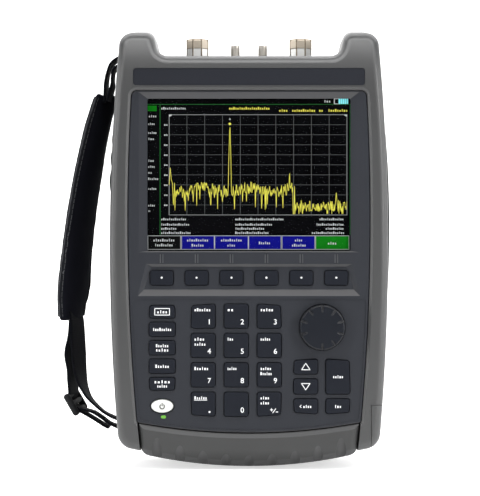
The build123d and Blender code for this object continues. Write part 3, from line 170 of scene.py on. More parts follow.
print("helpers for finishes:", Value.__name__, Finish.__name__, dress.__name__)

# %% [markdown]
# ## Moulded plastics and rubbers
# The case is spark-eroded grey plastic: a grain of about half a millimetre breaks up the
# highlights, and a slow mottling keeps large faces from looking computed. The keys are satin
# silicone. All of them are the same recipe with other numbers: colour, roughness, size and
# depth of the grain, mottling and shine. The case also has a crown: its shading leans upwards near the
# top, where the moulding is slightly domed. Slopes and rounded edges get a painted highlight, a paler
# colour than the faces, and the bumper gets painted shade that darkens it towards its foot.

# %% Moulded finishes
# Painted highlight on slopes and rounded edges: where it starts and how fast it grows
SLOPE_FROM, SLOPE_GAIN = 0.13, 6  # the lean at which a face starts to turn paler, and how fast it does
CROWN_FROM = 0.245  # the height where the dome starts, in metres


def moulded(name, colour, rough, grain_size, grain_depth, mottle=0.08, specular=0.5, crown=0.0,
            slope_highlight=0.0, foot=0.0):
    finish = Finish(name, Specular_IOR_Level=specular)
    grain = finish.noise(1 / grain_size, 3.0)
    cloud = finish.noise(38.0, 4.0)
    smear = finish.noise(9.0, 5.0, (1, 1, 0.35))
    light = tuple(min(1, c * (1 + mottle)) for c in colour)
    dim = tuple(c * (1 - mottle) for c in colour)
    shade = finish.blend(cloud * 0.6 + grain * 0.4, dim, light)
    # painted highlight: faces that lean up or down are blended towards a pale grey
    if slope_highlight:
        facing = finish.part(finish.node("ShaderNodeTexCoord", out=1), 2)
        lean = ((facing.math("ABSOLUTE") - SLOPE_FROM) * SLOPE_GAIN).clamped() * slope_highlight
        pale = sum(colour)
        shade = finish.blend(lean, shade, (pale, pale, pale * 1.04))
    height = finish.part(finish.place(), 2)
    # painted shade: below the foot height the colour is blended darker, down to a tenth of it at the base
    if foot:
        foot_shade = (1 - height / foot).math("MAXIMUM", 0.0)
        shade = finish.blend(foot_shade * 0.9, shade, tuple(c * 0.1 for c in colour))
    finish.feed("Base Color", shade)
    finish.feed("Roughness", rough + (smear - 0.5) * 0.16 + (grain - 0.5) * 0.08)
    if crown:
        rise = (height - CROWN_FROM).math("MAXIMUM", 0.0)
        finish.bump(grain * (grain_depth * 0.0002) - rise * rise * crown, 1.0, 1.0)
    else:
        finish.bump(grain, grain_depth)
    return finish


dress(moulded("case_plastic", (0.0395, 0.040, 0.0405), 0.38, 0.0005, 0.22, 0.1, 0.55,
              crown=6.6, slope_highlight=0.04), "front_bezel", "rear_housing", "battery_door")
dress(moulded("grip_rubber", (0.043, 0.0435, 0.0435), 0.60, 0.0004, 0.25, 0.12, 0.3, slope_highlight=0.3),
      "left_grip", "right_grip", "port_door")
dress(moulded("bumper_rubber", (0.043, 0.0435, 0.0435), 0.62, 0.0004, 0.25, 0.12, 0.25,
              slope_highlight=0.2, foot=0.013), "bottom_bumper")
dress(moulded("panel_plastic", (0.0165, 0.0183, 0.0235), 0.52, 0.00035, 0.2, 0.1, 0.26, slope_highlight=1.0),
      "front_panel")
dress(moulded("plate_plastic", (0.0130, 0.0143, 0.0190), 0.45, 0.0003, 0.08, 0.1, 0.2), "name_plate")
key_finish = moulded("key_rubber", (0.0074, 0.0089, 0.0136), 0.50, 0.00025, 0.1, 0.12, 0.14)
dress(moulded("knob_plastic", (0.0060, 0.0075, 0.0115), 0.34, 0.0003, 0.06, 0.12, 0.2, slope_highlight=0.5),
      "rotary_knob")
dress(moulded("power_plastic", (0.60, 0.61, 0.585), 0.30, 0.0003, 0.04, 0.03), "power_button")
dress(moulded("mat_rubber", (0.05, 0.05, 0.055), 0.7, 0.0006, 0.2), "keypad_mat")
dress(moulded("battery_wrap", (0.03, 0.03, 0.034), 0.4, 0.0006, 0.1), "battery_pack")
dress(moulded("pad_rubber", (0.014, 0.014, 0.015), 0.75, 0.0005, 0.35, 0.12, 0.25), "rear_pads")
dress(moulded("stand_plastic", (0.036, 0.037, 0.040), 0.5, 0.0005, 0.22, 0.1, 0.4), "tilt_stand")
buckle_finish = moulded("buckle_plastic", (0.0075, 0.0078, 0.0086), 0.66, 0.0004, 0.12, 0.1, 0.12)
key_names = [n for n in nodes if n.startswith(("softkey", "function_key", "number_key"))]
key_names += ["up_key", "down_key", "back_key", "enter_key", "escape_key"]
dress(key_finish, *key_names)
print("moulded finishes on", len(key_names), "keys and the case")

# %% [markdown]
# ## Metals, boards and glass
# Turned and pressed metal shows fine scratches along one direction, so its noise is stretched.
# The window is a clear sheet: nearly no colour, a low alpha, and a sharp reflection.

# %% Metals, laminate, glass and lamp
def metal(name, colour, rough, stretch, metallic=1.0):
    finish = Finish(name, Metallic=metallic)
    scratch = finish.noise(900.0, 3.0, stretch)
    tarnish = finish.noise(60.0, 4.0)
    dim = tuple(c * 0.82 for c in colour)
    finish.tint(tarnish, dim, colour)
    finish.feed("Roughness", rough + (scratch - 0.5) * 0.2)
    finish.bump(scratch, 0.06)
    return finish


dress(metal("part_steel", (0.55, 0.55, 0.56), 0.3, (1, 1, 0.06)),
      "rotary_encoder", "encoder_shaft", "case_screws", "hinge_pins")
dress(metal("shield_aluminium", (0.58, 0.59, 0.60), 0.42, (0.06, 1, 1)), "radio_module")
port_finish = metal("port_metal", (0.56, 0.49, 0.40), 0.42, (1, 1, 3), 0.6)
bright_finish = metal("bright_plating", (0.86, 0.86, 0.84), 0.40, (1, 1, 3), 0.5)
# painted dark reflection: the dark metal of the beads along the connectors' corners
corner_reflection_finish = metal("painted_corner_reflection", (0.20, 0.165, 0.12), 0.45, (1, 1, 3))
small_finish = metal("reference_metal", (0.50, 0.47, 0.43), 0.36, (1, 1, 3))
flange_finish = metal("flange_metal", (0.42, 0.41, 0.39), 0.38, (0.06, 1, 1))
gold_finish = metal("contact_gold", (0.78, 0.58, 0.26), 0.26, (1, 1, 3))
dress(metal("socket_shell", (0.50, 0.50, 0.52), 0.35, (0.06, 1, 1)), "port_sockets")
dress(metal("deck_anodised", (0.085, 0.086, 0.09), 0.48, (0.06, 1, 1), 0.6), "connector_plate")
dress(port_finish, "rf_ports")
dress(small_finish, "reference_ports")

board_finish = Finish("board_laminate", Roughness=0.32, Coat_Weight=0.3)
weave = board_finish.noise(1400.0, 2.0, (1, 1, 0.2))
board_finish.tint(weave, (0.008, 0.07, 0.03), (0.015, 0.12, 0.05))
dress(board_finish, "key_board", "main_board")

window_finish = Finish("window_glass", Alpha=0.03, IOR=1.49, Specular_IOR_Level=0.25)
smudge = window_finish.noise(26.0, 5.0)
window_finish.tint(smudge, (0.01, 0.01, 0.012), (0.03, 0.032, 0.035))
window_finish.feed("Roughness", 0.03 + smudge * 0.05)
dress(window_finish, "screen_window")

display_finish = Finish("display_face", Specular_IOR_Level=0.02)
cells = display_finish.noise(2600.0, 1.0)
display_finish.tint(cells, (0.0005, 0.0005, 0.0008), (0.0015, 0.0015, 0.002))
display_finish.feed("Roughness", 0.22 + cells * 0.08)
dress(display_finish, "display")

lamp_finish = Finish("lamp_lens", Roughness=0.2, Emission_Strength=0.22)
glow = lamp_finish.noise(500.0, 1.0)
lamp_finish.tint(glow, (0.06, 0.22, 0.015), (0.11, 0.32, 0.03))
lamp_finish.feed("Emission Color", lamp_finish.blend(glow, (0.08, 0.36, 0.01), (0.16, 0.52, 0.03)))
dress(lamp_finish, "power_lamp")
print("metal, laminate, glass and lamp finishes made")


# %% [markdown]
# ## Printed and lit marks
# Legends and the picture on the screen are thin shapes laid on a face. Each one starts as a plane
# or a letter, is stretched to its place, and is joined with the others of its colour, so that a key
# carries one mark that travels with it. Words are shown as a row of small blocks.

# %% Ink, light and the helpers that lay marks
def ink(name, colour, glow=0.0):
    finish = Finish(name, Roughness=0.5, Emission_Strength=glow, Specular_IOR_Level=0.05 if glow else 0.3)
    speck = finish.noise(1500.0, 1.0)
    dim = tuple(c * 0.9 for c in colour)
    finish.tint(speck, dim, colour)
    if glow:
        finish.feed("Emission Color", finish.blend(speck, dim, colour))
    return finish


def mode(name):
    bpy.ops.object.mode_set(mode=name)


def clear_selection():
    if bpy.context.object and bpy.context.object.mode != "OBJECT":
        mode("OBJECT")
    bpy.ops.object.select_all(action="DESELECT")


def apply_place():
    """Put the place of what is selected into its mesh."""
    bpy.ops.object.transform_apply(location=True, rotation=True, scale=True)


def modify(piece, kind, **settings):
    """Add a modifier to the active piece, and apply it."""
    made = piece.modifiers.new(kind.lower(), kind)
    for key, setting in settings.items():
        setattr(made, key, setting)
    bpy.ops.object.modifier_apply(modifier=made.name)


def bevel(piece, width, segments):
    """Round the sharp edges of a piece."""
    modify(piece, "BEVEL", width=width, segments=segments, limit_method="ANGLE")


def start_marks(name):
    """An empty mesh in edit mode, to which flat marks are added."""
    clear_selection()
    bpy.ops.mesh.primitive_plane_add(size=0.001)
    marks = bpy.context.object
    marks.name = name
    mode("EDIT")
    bpy.ops.mesh.delete(type="VERT")
    return marks


def bar(x, z, width, height, y, turn=0.0):
    """A flat upright rectangle about a middle point, facing the viewer."""
    bpy.ops.mesh.select_all(action="DESELECT")
    bpy.ops.mesh.primitive_plane_add(size=1, location=(x, y, z), rotation=(pi / 2, 0, 0))
    bpy.ops.transform.resize(value=(width, 1, height), center_override=(x, y, z))
    if turn:
        bpy.ops.transform.rotate(value=turn, orient_axis="Y", center_override=(x, y, z))


def dot(x, z, radius, y, sides=20):
    bpy.ops.mesh.select_all(action="DESELECT")
    bpy.ops.mesh.primitive_circle_add(
        vertices=sides, radius=radius, fill_type="NGON", location=(x, y, z), rotation=(pi / 2, 0, 0))


def word(x, z, width, height, y, letters):
    """A row of small blocks that reads as a short word from a step away."""
    step = width / letters
    heights = (1.0, 0.66, 0.7, 0.98, 0.62, 0.72)
    fills = (0.66, 0.5, 0.6, 0.34, 0.56, 0.46)
    for index in range(letters):
        kind = (index * 5 + letters) % len(heights)
        tall = height * heights[kind]
        middle = x - width / 2 + step * (index + 0.5)
        bar(middle, z - (height - tall) / 2, step * fills[kind], tall, y)


def stroke(start, end, width, y):
    """A straight line of a given width between two points of a face."""
    start, end = Vector(start), Vector(end)
    run, middle = end - start, (start + end) / 2
    bar(middle.x, middle.y, run.length + width * 0.6, width, y, run.angle_signed(Vector((1, 0))))


def close_marks(marks, finish, body):
    bpy.ops.mesh.select_all(action="SELECT")
    mode("OBJECT")
    marks.data.materials.clear()
    marks.data.materials.append(finish.material)
    finish_piece(marks, body)
    return marks


def finish_piece(piece, body):
    """Put a piece's place into its mesh and let it ride on a body."""
    clear_selection()
    piece.select_set(True)
    bpy.context.view_layer.objects.active = piece
    apply_place()
    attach(piece, body)
    piece.select_set(False)


def letters(text, x, z, height, y):
    """A short figure as a mesh, with its middle at a point."""
    clear_selection()
    bpy.ops.object.text_add(location=(x, y, z), rotation=(pi / 2, 0, 0))
    figure = bpy.context.object
    figure.data.body = text
    figure.data.size = height * 1.38
    figure.data.align_x, figure.data.align_y = "CENTER", "CENTER"
    figure.data.offset = height * 0.010
    bpy.ops.object.convert(target="MESH")
    return bpy.context.object


def join(marks, *others):
    clear_selection()
    for other in others:
        other.select_set(True)
    marks.select_set(True)
    bpy.context.view_layer.objects.active = marks
    apply_place()
    bpy.ops.object.join()


legend_ink = ink("legend_white", (0.80, 0.81, 0.82))
MM = 0.001
print("ink for legends:", legend_ink.material.name)

# %% [markdown]
# ## Key legends
# The number keys carry a figure at the lower right and a short word or two at the upper left; the
# other keys carry a word in the middle. The soft keys have a single white dot, and two keys an arrow
# head in outline. Words are given as pairs: how many letters, and how many millimetres wide. The short
# grooves that lead from the screen to the soft keys carry pale strips along their edges: painted highlights.

# %% Legends on the keys
def face_of(name):
    """Middle of a key's cap and the level just in front of it, in metres."""
    low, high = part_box(name)
    return (low.x + high.x) / 2, (low.z + high.z) / 2, low.y - 0.00003


def start_legend(name):
    """A key's mark, with the middle and level of its face."""
    return start_marks(f"{name}_legend"), *face_of(name)


WORD_HEIGHT, LINE, DOT = 2.05 * MM, 0.5 * MM, 0.66 * MM
FIRST_LINE, LINE_STEP, LEFT_EDGE = 4.25, 3.3, 6.0  # words on a number key, from its middle in mm
FIGURE_RIGHT, FIGURE_DROP, FIGURE_HEIGHT = 4.0 * MM, 3.9 * MM, 3.5 * MM
SIGN_DROP, SIGN_SIZE = 3.6 * MM, 2.0 * MM
LEAD_ROW, LEAD_HALF, LEAD_WIDTH, LEAD_LENGTH = 0.1385, 0.85 * MM, 0.55 * MM, 5.8 * MM
RING, RING_TUBE, RING_GAP = 1.5 * MM, 0.30 * MM, 0.7 * MM
PAIR_RISE = 1.4  # of the first of two lines on a function key, in mm
number_words = {"1": ((7, 11.0),), "2": ((2, 4.4),), "3": ((5, 8.8),), "4": ((4, 7.0), (5, 7.8)),
                "5": ((3, 4.2),), "6": ((5, 6.8),), "7": ((6, 9.6),), "8": ((5, 6.4),),
                "9": ((5, 7.4), (6, 7.8)), "0": (), "point": ((6, 8.6),), "sign": ((4, 6.1), (4, 6.1))}
for word_key, lines in number_words.items():
    name = f"number_key_{word_key}"
    marks, x, z, y = start_legend(name)
    for line, (count, wide) in enumerate(lines):
        middle = x + (wide / 2 - LEFT_EDGE) * MM
        word(middle, z + (FIRST_LINE - LINE_STEP * line) * MM, wide * MM, WORD_HEIGHT, y, count)
    if word_key == "point":
        bar(x - 1.7 * MM, z + 2.75 * MM, 8.6 * MM, 0.4 * MM, y)
        dot(x + 4.2 * MM, z - 5.0 * MM, DOT, y)
    if word_key == "sign":
        bar(x + 1.5 * MM, z - SIGN_DROP, SIGN_SIZE, LINE, y)
        bar(x + 1.5 * MM, z - SIGN_DROP, LINE, SIGN_SIZE, y)
        stroke((x + 2.3 * MM, z - 5.6 * MM), (x + 4.3 * MM, z - 2.9 * MM), LINE, y)
        bar(x + 5.1 * MM, z - 5.0 * MM, 1.5 * MM, LINE, y)
    mode("OBJECT")
    if word_key.isdigit():
        join(marks, letters(word_key, x + FIGURE_RIGHT, z - FIGURE_DROP, FIGURE_HEIGHT, y))
    bpy.context.view_layer.objects.active = marks
    mode("EDIT")
    close_marks(marks, legend_ink, name)

function_words = (((4, 7.2),), ((9, 12.4),), ((6, 8.6), (5, 8.8)), ((6, 9.4),), ((5, 11.0), (5, 7.0)))
for index, lines in enumerate(function_words):
    name = f"function_key_{index + 1}"
    marks, x, z, y = start_legend(name)
    for line, (count, wide) in enumerate(lines):
        lift = PAIR_RISE * (1 - 2 * line) if len(lines) == 2 else 0
        word(x, z + lift * MM, wide * MM, WORD_HEIGHT, y, count)
    if index == 0:
        for side in (-1, 1):
            bar(x, z + side * 2.15 * MM, 10.2 * MM, LINE, y)
            bar(x + side * 4.85 * MM, z, LINE, 4.7 * MM, y)
    close_marks(marks, legend_ink, name)

for index in range(6):
    name = f"softkey_{index + 1}"
    x, z, y = face_of(name)
    marks = start_marks(f"{name}_dot")
    dot(x, z + 0.1 * MM, DOT, y)
    close_marks(marks, legend_ink, name)

# painted highlights: pale strips along both edges of each groove that leads to a soft key
lead_highlight_ink = ink("painted_lead_highlight", (0.085, 0.087, 0.091))
panel = nodes["front_panel"]
lead_marks = start_marks("softkey_lead_edges")
for index in range(6):
    x = face_of(f"softkey_{index + 1}")[0]
    for side in (-1, 1):
        edge_x = x + side * LEAD_HALF
        place = panel.ray_cast(Vector((edge_x, -0.2, LEAD_ROW)), Vector((0, 1, 0)))[1]
        bar(edge_x, LEAD_ROW, LEAD_WIDTH, LEAD_LENGTH, place.y - 0.04 * MM)
close_marks(lead_marks, lead_highlight_ink, "case")

for name, way in (("up_key", 1), ("down_key", -1)):
    marks, x, z, y = start_legend(name)
    tip = (x, z + way * 2.2 * MM)
    left, right = [(x + side * 2.8 * MM, z - way * 2.0 * MM) for side in (-1, 1)]
    for start, end in ((tip, left), (left, right), (right, tip)):
        stroke(start, end, LINE, y)
    close_marks(marks, legend_ink, name)

for name, count, wide, shift in (("back_key", 4, 5.8, 1.0), ("enter_key", 5, 7.0, 0),
                                 ("escape_key", 3, 4.6, 0)):
    marks, x, z, y = start_legend(name)
    word(x + shift * MM, z, wide * MM, WORD_HEIGHT, y, count)
    if shift:
        for way in (-1, 1):
            stroke((x - 3.9 * MM, z), (x - 3.0 * MM, z + way * 0.8 * MM), 0.42 * MM, y)
    close_marks(marks, legend_ink, name)

power_ink = ink("power_symbol", (0.04, 0.04, 0.035))
x, z, y = face_of("power_button")
clear_selection()
bpy.ops.mesh.primitive_torus_add(major_radius=RING, minor_radius=RING_TUBE, major_segments=36,
                                 minor_segments=8, location=(x, y, z - 0.2 * MM), rotation=(pi / 2, 0, 0))
power_mark = bpy.context.object
power_mark.name = "power_button_symbol"
apply_place()
mode("EDIT")
bpy.ops.mesh.select_all(action="DESELECT")
mode("OBJECT")
for vertex in power_mark.data.vertices:
    vertex.select = abs(vertex.co.x - x) < RING_GAP and vertex.co.z > z
mode("EDIT")
bpy.ops.mesh.delete(type="VERT")
bar(x, z + 1.15 * MM, 0.58 * MM, 2.0 * MM, y)
close_marks(power_mark, power_ink, "power_button")
print("legends laid on", len(key_names) + 1, "keys")

# %% [markdown]
# ## The picture on the screen
# The display shows a spectrum: a grid, a yellow trace with a tall peak, small settings along the
# side and below, and six soft key labels at the foot. Places are given in the photograph's pixels
# and turned into metres on the display's face. Everything is a thin lit shape behind the window.

# %% Screen: colours and scale
lit_white = ink("lit_white", (0.33, 0.345, 0.345), 0.5)
lit_grey = ink("lit_grey", (0.045, 0.048, 0.048), 0.4)
lit_yellow = ink("lit_yellow", (0.50, 0.47, 0.055), 0.5)
lit_green = ink("lit_green", (0.001, 0.085, 0.002), 0.8)
lit_dark_green = ink("lit_dark_green", (0.006, 0.055, 0.010), 0.6)
lit_cyan = ink("lit_cyan", (0.18, 0.62, 0.66), 0.55)
lit_blue = ink("lit_blue", (0.0006, 0.0008, 0.10), 0.8)
lit_black = ink("lit_black", (0.0008, 0.0008, 0.001), 0.1)
screen_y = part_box("display")[0].y
PIXEL = 0.6585 * MM
MIDDLE_COLUMN, BASE_ROW, BASE_HEIGHT = 249.4, 248, 0.1455
LAYER = 0.00003


def screen_x(px): return (px - MIDDLE_COLUMN) * PIXEL
def screen_z(py): return BASE_HEIGHT + (BASE_ROW - py) * PIXEL
def layer_y(layer): return screen_y - layer * LAYER


def patch(x0, y0, x1, y1, layer):
    """A rectangle between two pixels of the photograph, on a thin layer of the picture."""
    bar((screen_x(x0) + screen_x(x1)) / 2, (screen_z(y0) + screen_z(y1)) / 2,
        abs(x1 - x0) * PIXEL, abs(y1 - y0) * PIXEL, layer_y(layer))


def screen_word(x0, x1, y, layer, height, letters_wide):
    count = max(2, round((x1 - x0) / letters_wide))
    word((screen_x(x0) + screen_x(x1)) / 2, screen_z(y), (x1 - x0) * PIXEL, height * PIXEL,
         layer_y(layer), count)


def close_picture(marks, finish):
    close_marks(marks, finish, "case")


print("display face at", round(screen_y * 1000, 3), "mm")

# %% [markdown]
# Frames, grid and labels are rectangles. A label is a pale patch with a coloured one before it, which
# leaves a border.

# %% Screen: frames, grid and soft key labels
FRAMES = ((147.5, 103.9, 351.5, 104.6), (160.0, 104, 160.8, 235), (350.2, 104, 350.9, 235))
GRAPH_LEFT, GRAPH_TOP, GRAPH_RIGHT, GRAPH_FOOT = 169.5, 114.6, 347.4, 214.9
GRAPH_WIDTH, GRAPH_HEIGHT = GRAPH_RIGHT - GRAPH_LEFT, GRAPH_FOOT - GRAPH_TOP
LABELS = ((148.4, 180.7), (182.1, 214.4), (215.4, 248.3), (249.3, 281.3), (282.7, 315.1), (316.3, 349.2))
LABEL_TOP, LABEL_FOOT = 236.1, 249.1
BADGE = (148, 105.6, 157.0, 111.0)
ACROSS_HALF, DOWN_HALF, OUTLINE_HALF, OUTLINE_FLAT = 0.28, 0.22, 0.35, 0.3  # half widths of lines, in pixels

frames = start_marks("screen_frames")
for corners in FRAMES:
    patch(*corners, 1)
close_picture(frames, lit_dark_green)


def graph_spot(across, down):
    """A place by shares of the graph's width and height, in metres."""
    return screen_x(GRAPH_LEFT + GRAPH_WIDTH * across), screen_z(GRAPH_TOP + GRAPH_HEIGHT * down)


grid = start_marks("screen_grid")
for line in range(1, 10):
    across, down = GRAPH_LEFT + GRAPH_WIDTH * line / 10, GRAPH_TOP + GRAPH_HEIGHT * line / 10
    patch(across - ACROSS_HALF, GRAPH_TOP, across + ACROSS_HALF, GRAPH_FOOT, 1)
    patch(GRAPH_LEFT, down - DOWN_HALF, GRAPH_RIGHT, down + DOWN_HALF, 2)
close_picture(grid, lit_grey)

border = start_marks("screen_borders")
for x0, x1 in LABELS:
    patch(x0 - 0.5, LABEL_TOP - 0.6, x1 + 0.5, LABEL_FOOT + 0.6, 1)
close_picture(border, ink("lit_border", (0.22, 0.23, 0.23), 0.5))
outline = start_marks("screen_graph_outline")
for across in (GRAPH_LEFT, GRAPH_RIGHT):
    patch(across - OUTLINE_HALF, GRAPH_TOP - OUTLINE_HALF,
          across + OUTLINE_HALF, GRAPH_FOOT + OUTLINE_HALF, 2)
for down in (GRAPH_TOP, GRAPH_FOOT):
    patch(GRAPH_LEFT, down - OUTLINE_FLAT, GRAPH_RIGHT, down + OUTLINE_FLAT, 3)
close_picture(outline, ink("lit_outline", (0.135, 0.14, 0.14), 0.5))
for name, finish, group in (("black", lit_black, LABELS[:1]), ("blue", lit_blue, LABELS[1:5]),
                            ("green", lit_green, LABELS[5:])):
    label = start_marks(f"screen_softkeys_{name}")
    for x0, x1 in group:
        patch(x0 + 0.1, LABEL_TOP, x1 - 0.1, LABEL_FOOT, 2)
    if name == "green":
        patch(*BADGE, 1)
    close_picture(label, finish)
print("frames, grid and", len(LABELS), "labels on the screen")

# %% [markdown]
# Words stand at the left, below the graph and on the labels. Each is given by its row and its ends.

# %% Screen: words and battery sign
SIDE_WORDS = ((116, 148.8, 157), (123.7, 148.2, 155.2), (132.6, 148.2, 157), (138.8, 148.2, 154.6),
              (160.6, 148.2, 154.4), (166.5, 148.2, 155.2), (172.5, 148.2, 152.4), (178.7, 148.2, 158.8),
              (188.6, 148.2, 156.8), (205.3, 148.2, 155.4), (210.7, 148.6, 150.6))
FOOT_WORDS = ((219.1, 161.2, 186.6), (224.4, 161.2, 189.8), (228.5, 161.2, 177.0), (232.7, 161.2, 191.2),
              (219.1, 235.4, 284.2), (224.4, 235.4, 272.6), (228.5, 235.4, 264.8), (232.7, 235.4, 269.2),
              (219.1, 319.6, 344.2), (224.4, 316.6, 344.2), (228.5, 325.9, 344.2), (232.7, 311.9, 344.9))
LABEL_WORDS = ((240.1, 153.3, 175.1), (245.0, 155.0, 173.3), (240.1, 187.0, 208.8), (245.2, 191.6, 204.3),
               (240.1, 221.0, 242.4), (245.2, 227.3, 235.7), (242.9, 259.0, 270.8), (240.1, 295.0, 302.8),
               (245.2, 292.0, 306.5), (243.2, 328.0, 337.1))
TITLE_WORD, CORNER_WORD = (108.2, 161.3, 186.3), (101.1, 324.3, 331.2)
SCALE_LEFT, SCALE_RIGHT = 164.2, 168.2
SIGN_LINES = ((334.6, 98.4, 340, 99.0), (334.6, 103.4, 340, 104.0), (334.4, 98.6, 335.2, 103.8))
CELL_LEFT, CELL_STEP, CELL_WIDTH, CELL_TOP, CELL_FOOT = 339.0, 2.0, 1.7, 98.6, 103.8
PEAK, MARK_RISE, PEAK_RISE = 0.3415, 0.045, 0.092  # shares of the graph

white = start_marks("screen_words_white")
for y, x0, x1 in (TITLE_WORD, *SIDE_WORDS, *FOOT_WORDS):
    screen_word(x0, x1, y, 3, 2.3, 1.9)
for index in range(1, 10):
    screen_word(SCALE_LEFT, SCALE_RIGHT, GRAPH_TOP + GRAPH_HEIGHT * index / 10, 3, 2.1, 1.8)
for y, x0, x1 in LABEL_WORDS:
    screen_word(x0, x1, y, 4, 2.7, 2.1)
screen_word(*CORNER_WORD[1:], CORNER_WORD[0], 3, 2.6, 2.3)
for corners in SIGN_LINES:
    patch(*corners, 3)
for side, corner in ((1, GRAPH_LEFT), (-1, GRAPH_RIGHT)):
    patch(corner, GRAPH_TOP, corner + side * 2.6, GRAPH_TOP + 0.9, 4)
    patch(corner, GRAPH_TOP, corner + side * 1.2, GRAPH_TOP + 1.8, 4)
dot(*graph_spot(PEAK, MARK_RISE), 0.5 * MM, layer_y(6))
close_picture(white, lit_white)

battery = start_marks("screen_battery_sign")
for index in range(5):
    left = CELL_LEFT + index * CELL_STEP
    patch(left, CELL_TOP, left + CELL_WIDTH, CELL_FOOT, 3)
close_picture(battery, lit_cyan)
print("words on the screen:", len(SIDE_WORDS) + len(FOOT_WORDS) + len(LABEL_WORDS) + 2)

# %% [markdown]
# The trace is a noisy floor with one tall peak, a second peak beside a fall, and a small third one.
# Its noise comes from a formula, so the picture is the same each time.

# %% Screen: trace
def jitter(index):
    """A repeatable number between 0 and 1."""
    return (sin(index * 12.9898) * 43758.5453) % 1


PEAKS = ((PEAK, 0.06, 0.0075), (PEAK, 0.56, 0.018), (0.677, 0.56, 0.009), (0.689, 0.64, 0.012),
         (0.94, 0.78, 0.025))  # middle, top and half width, in shares of the graph
FALL, FALL_HALF, LOWEST = 0.7, 0.003, 0.99
TRACE_WIDTH = 0.27 * MM
YELLOW_WORDS = ((108.2, 229.2, 270.2), (110.3, 279.2, 288.2), (110.3, 292.2, 315.8), (110.3, 319.2, 323.6),
                (110.3, 328.4, 348.2))
trace = start_marks("screen_trace")
profile = [(0.0, 0.70), (0.006, 0.53), (0.012, 0.65), (0.018, 0.68), (0.024, 0.90), (0.030, 0.68)]
for index in range(13, 401):
    at = index / 400
    deep = 0.13 if jitter(index + 700) > 0.9 else 0
    level = 0.69 + 0.12 * jitter(index) + deep + 0.02 * sin(at * 24)
    if at > FALL + 0.005:
        level = 0.85 + 0.12 * jitter(index) + deep
    for centre, top, half in PEAKS:
        level = min(level, top + abs(at - centre) / half * 0.5 if abs(at - centre) < half else 1)
    profile.append((at, LOWEST if abs(at - FALL) < FALL_HALF else min(LOWEST, level)))
for start, end in zip(profile, profile[1:]):
    stroke(graph_spot(*start), graph_spot(*end), TRACE_WIDTH, layer_y(5))
for y, x0, x1 in YELLOW_WORDS:
    screen_word(x0, x1, y, 3, 2.6, 2.1)
dot(*graph_spot(PEAK, PEAK_RISE), 1.0 * MM, layer_y(6), 4)
close_picture(trace, lit_yellow)
print("trace of", len(profile), "points")

# %% [markdown]
# ## Coaxial connectors
# A connector is turned on a lathe: a profile of radius against height is drawn as a chain of edges
# and spun round the axis. The thread is a single tooth, carried up a helix by the Screw modifier, so
# its crests keep the radius of the solid that stands for it in the frame.

# %% Lathe and thread
def chain(name, points):
    """A chain of edges through (radius, height) points in the XZ plane, left in edit mode."""
    clear_selection()
    bpy.ops.mesh.primitive_plane_add(size=0.001)
    made = bpy.context.object
    made.name = name
    mode("EDIT")
    bpy.ops.mesh.merge(type="CENTER")
    bpy.ops.transform.translate(value=(points[0][0], 0, points[0][1]))
    for (a, b), (c, d) in zip(points, points[1:]):
        bpy.ops.mesh.extrude_region_move(TRANSFORM_OT_translate={"value": (c - a, 0, d - b)})
    return made


def lathe(name, points, finish, place, steps, turn=0.0):
    """A turned piece from a chain of (radius, height) points in millimetres."""
    made = chain(name, [(radius * MM, height * MM) for radius, height in points])
    bpy.ops.mesh.select_all(action="SELECT")
    bpy.ops.mesh.spin(steps=steps, angle=2 * pi, center=(0, 0, 0), axis=(0, 0, 1))
    bpy.ops.mesh.select_all(action="SELECT")
    bpy.ops.mesh.remove_doubles(threshold=0.000005)
    bpy.ops.mesh.normals_make_consistent(inside=False)
    mode("OBJECT")
    made.location, made.rotation_euler = place, (0, 0, turn)
    apply_place()
    bpy.ops.object.shade_smooth_by_angle(angle=radians(32))
    paint(made, finish)
    return made


def thread(name, root, crest, pitch, turns, place):
    flat = pitch * 0.12
    made = chain(name, [(root, 0), (crest, pitch / 2 - flat), (crest, pitch / 2 + flat), (root, pitch)])
    mode("OBJECT")
    modify(made, "SCREW", axis="Z", angle=2 * pi, screw_offset=pitch, iterations=turns, steps=40,
           render_steps=40, use_merge_vertices=True, merge_threshold=0.000005)
    mode("EDIT")
    bpy.ops.mesh.select_all(action="SELECT")
    bpy.ops.mesh.normals_make_consistent(inside=False)
    mode("OBJECT")
    made.location = place
    apply_place()
    return made


def paint(piece, finish):
    piece.data.materials.clear()
    piece.data.materials.append(finish.material)


def rod(start, end, radius, finish):
    """A round bar with rounded ends between two points, as a mesh."""
    clear_selection()
    run = end - start
    turn = run.to_track_quat("Z", "Y").to_euler()
    bpy.ops.mesh.primitive_cylinder_add(vertices=24, radius=radius, depth=run.length + 2 * radius,
                                        location=(start + end) / 2, rotation=turn)
    made = bpy.context.object
    apply_place()
    bevel(made, radius * 0.8, 4)
    bpy.ops.object.shade_smooth_by_angle(angle=radians(40))
    paint(made, finish)
    return made


def up(height): return Vector((0, 0, height * MM))


print("lathe, thread and rod ready")

# %% [markdown]
# The large connectors stand on a square flange with four screws and have eight flats: a bright body and,
# above it, a ring of a warmer metal, with a dark bead along each corner as painted dark reflection. The
# small ones stand on a hexagon nut and are threaded. Inside each barrel sit a white insulator and a gold
# centre contact.
# Profiles are in millimetres, with heights above the connector panel or below the connector's mouth.

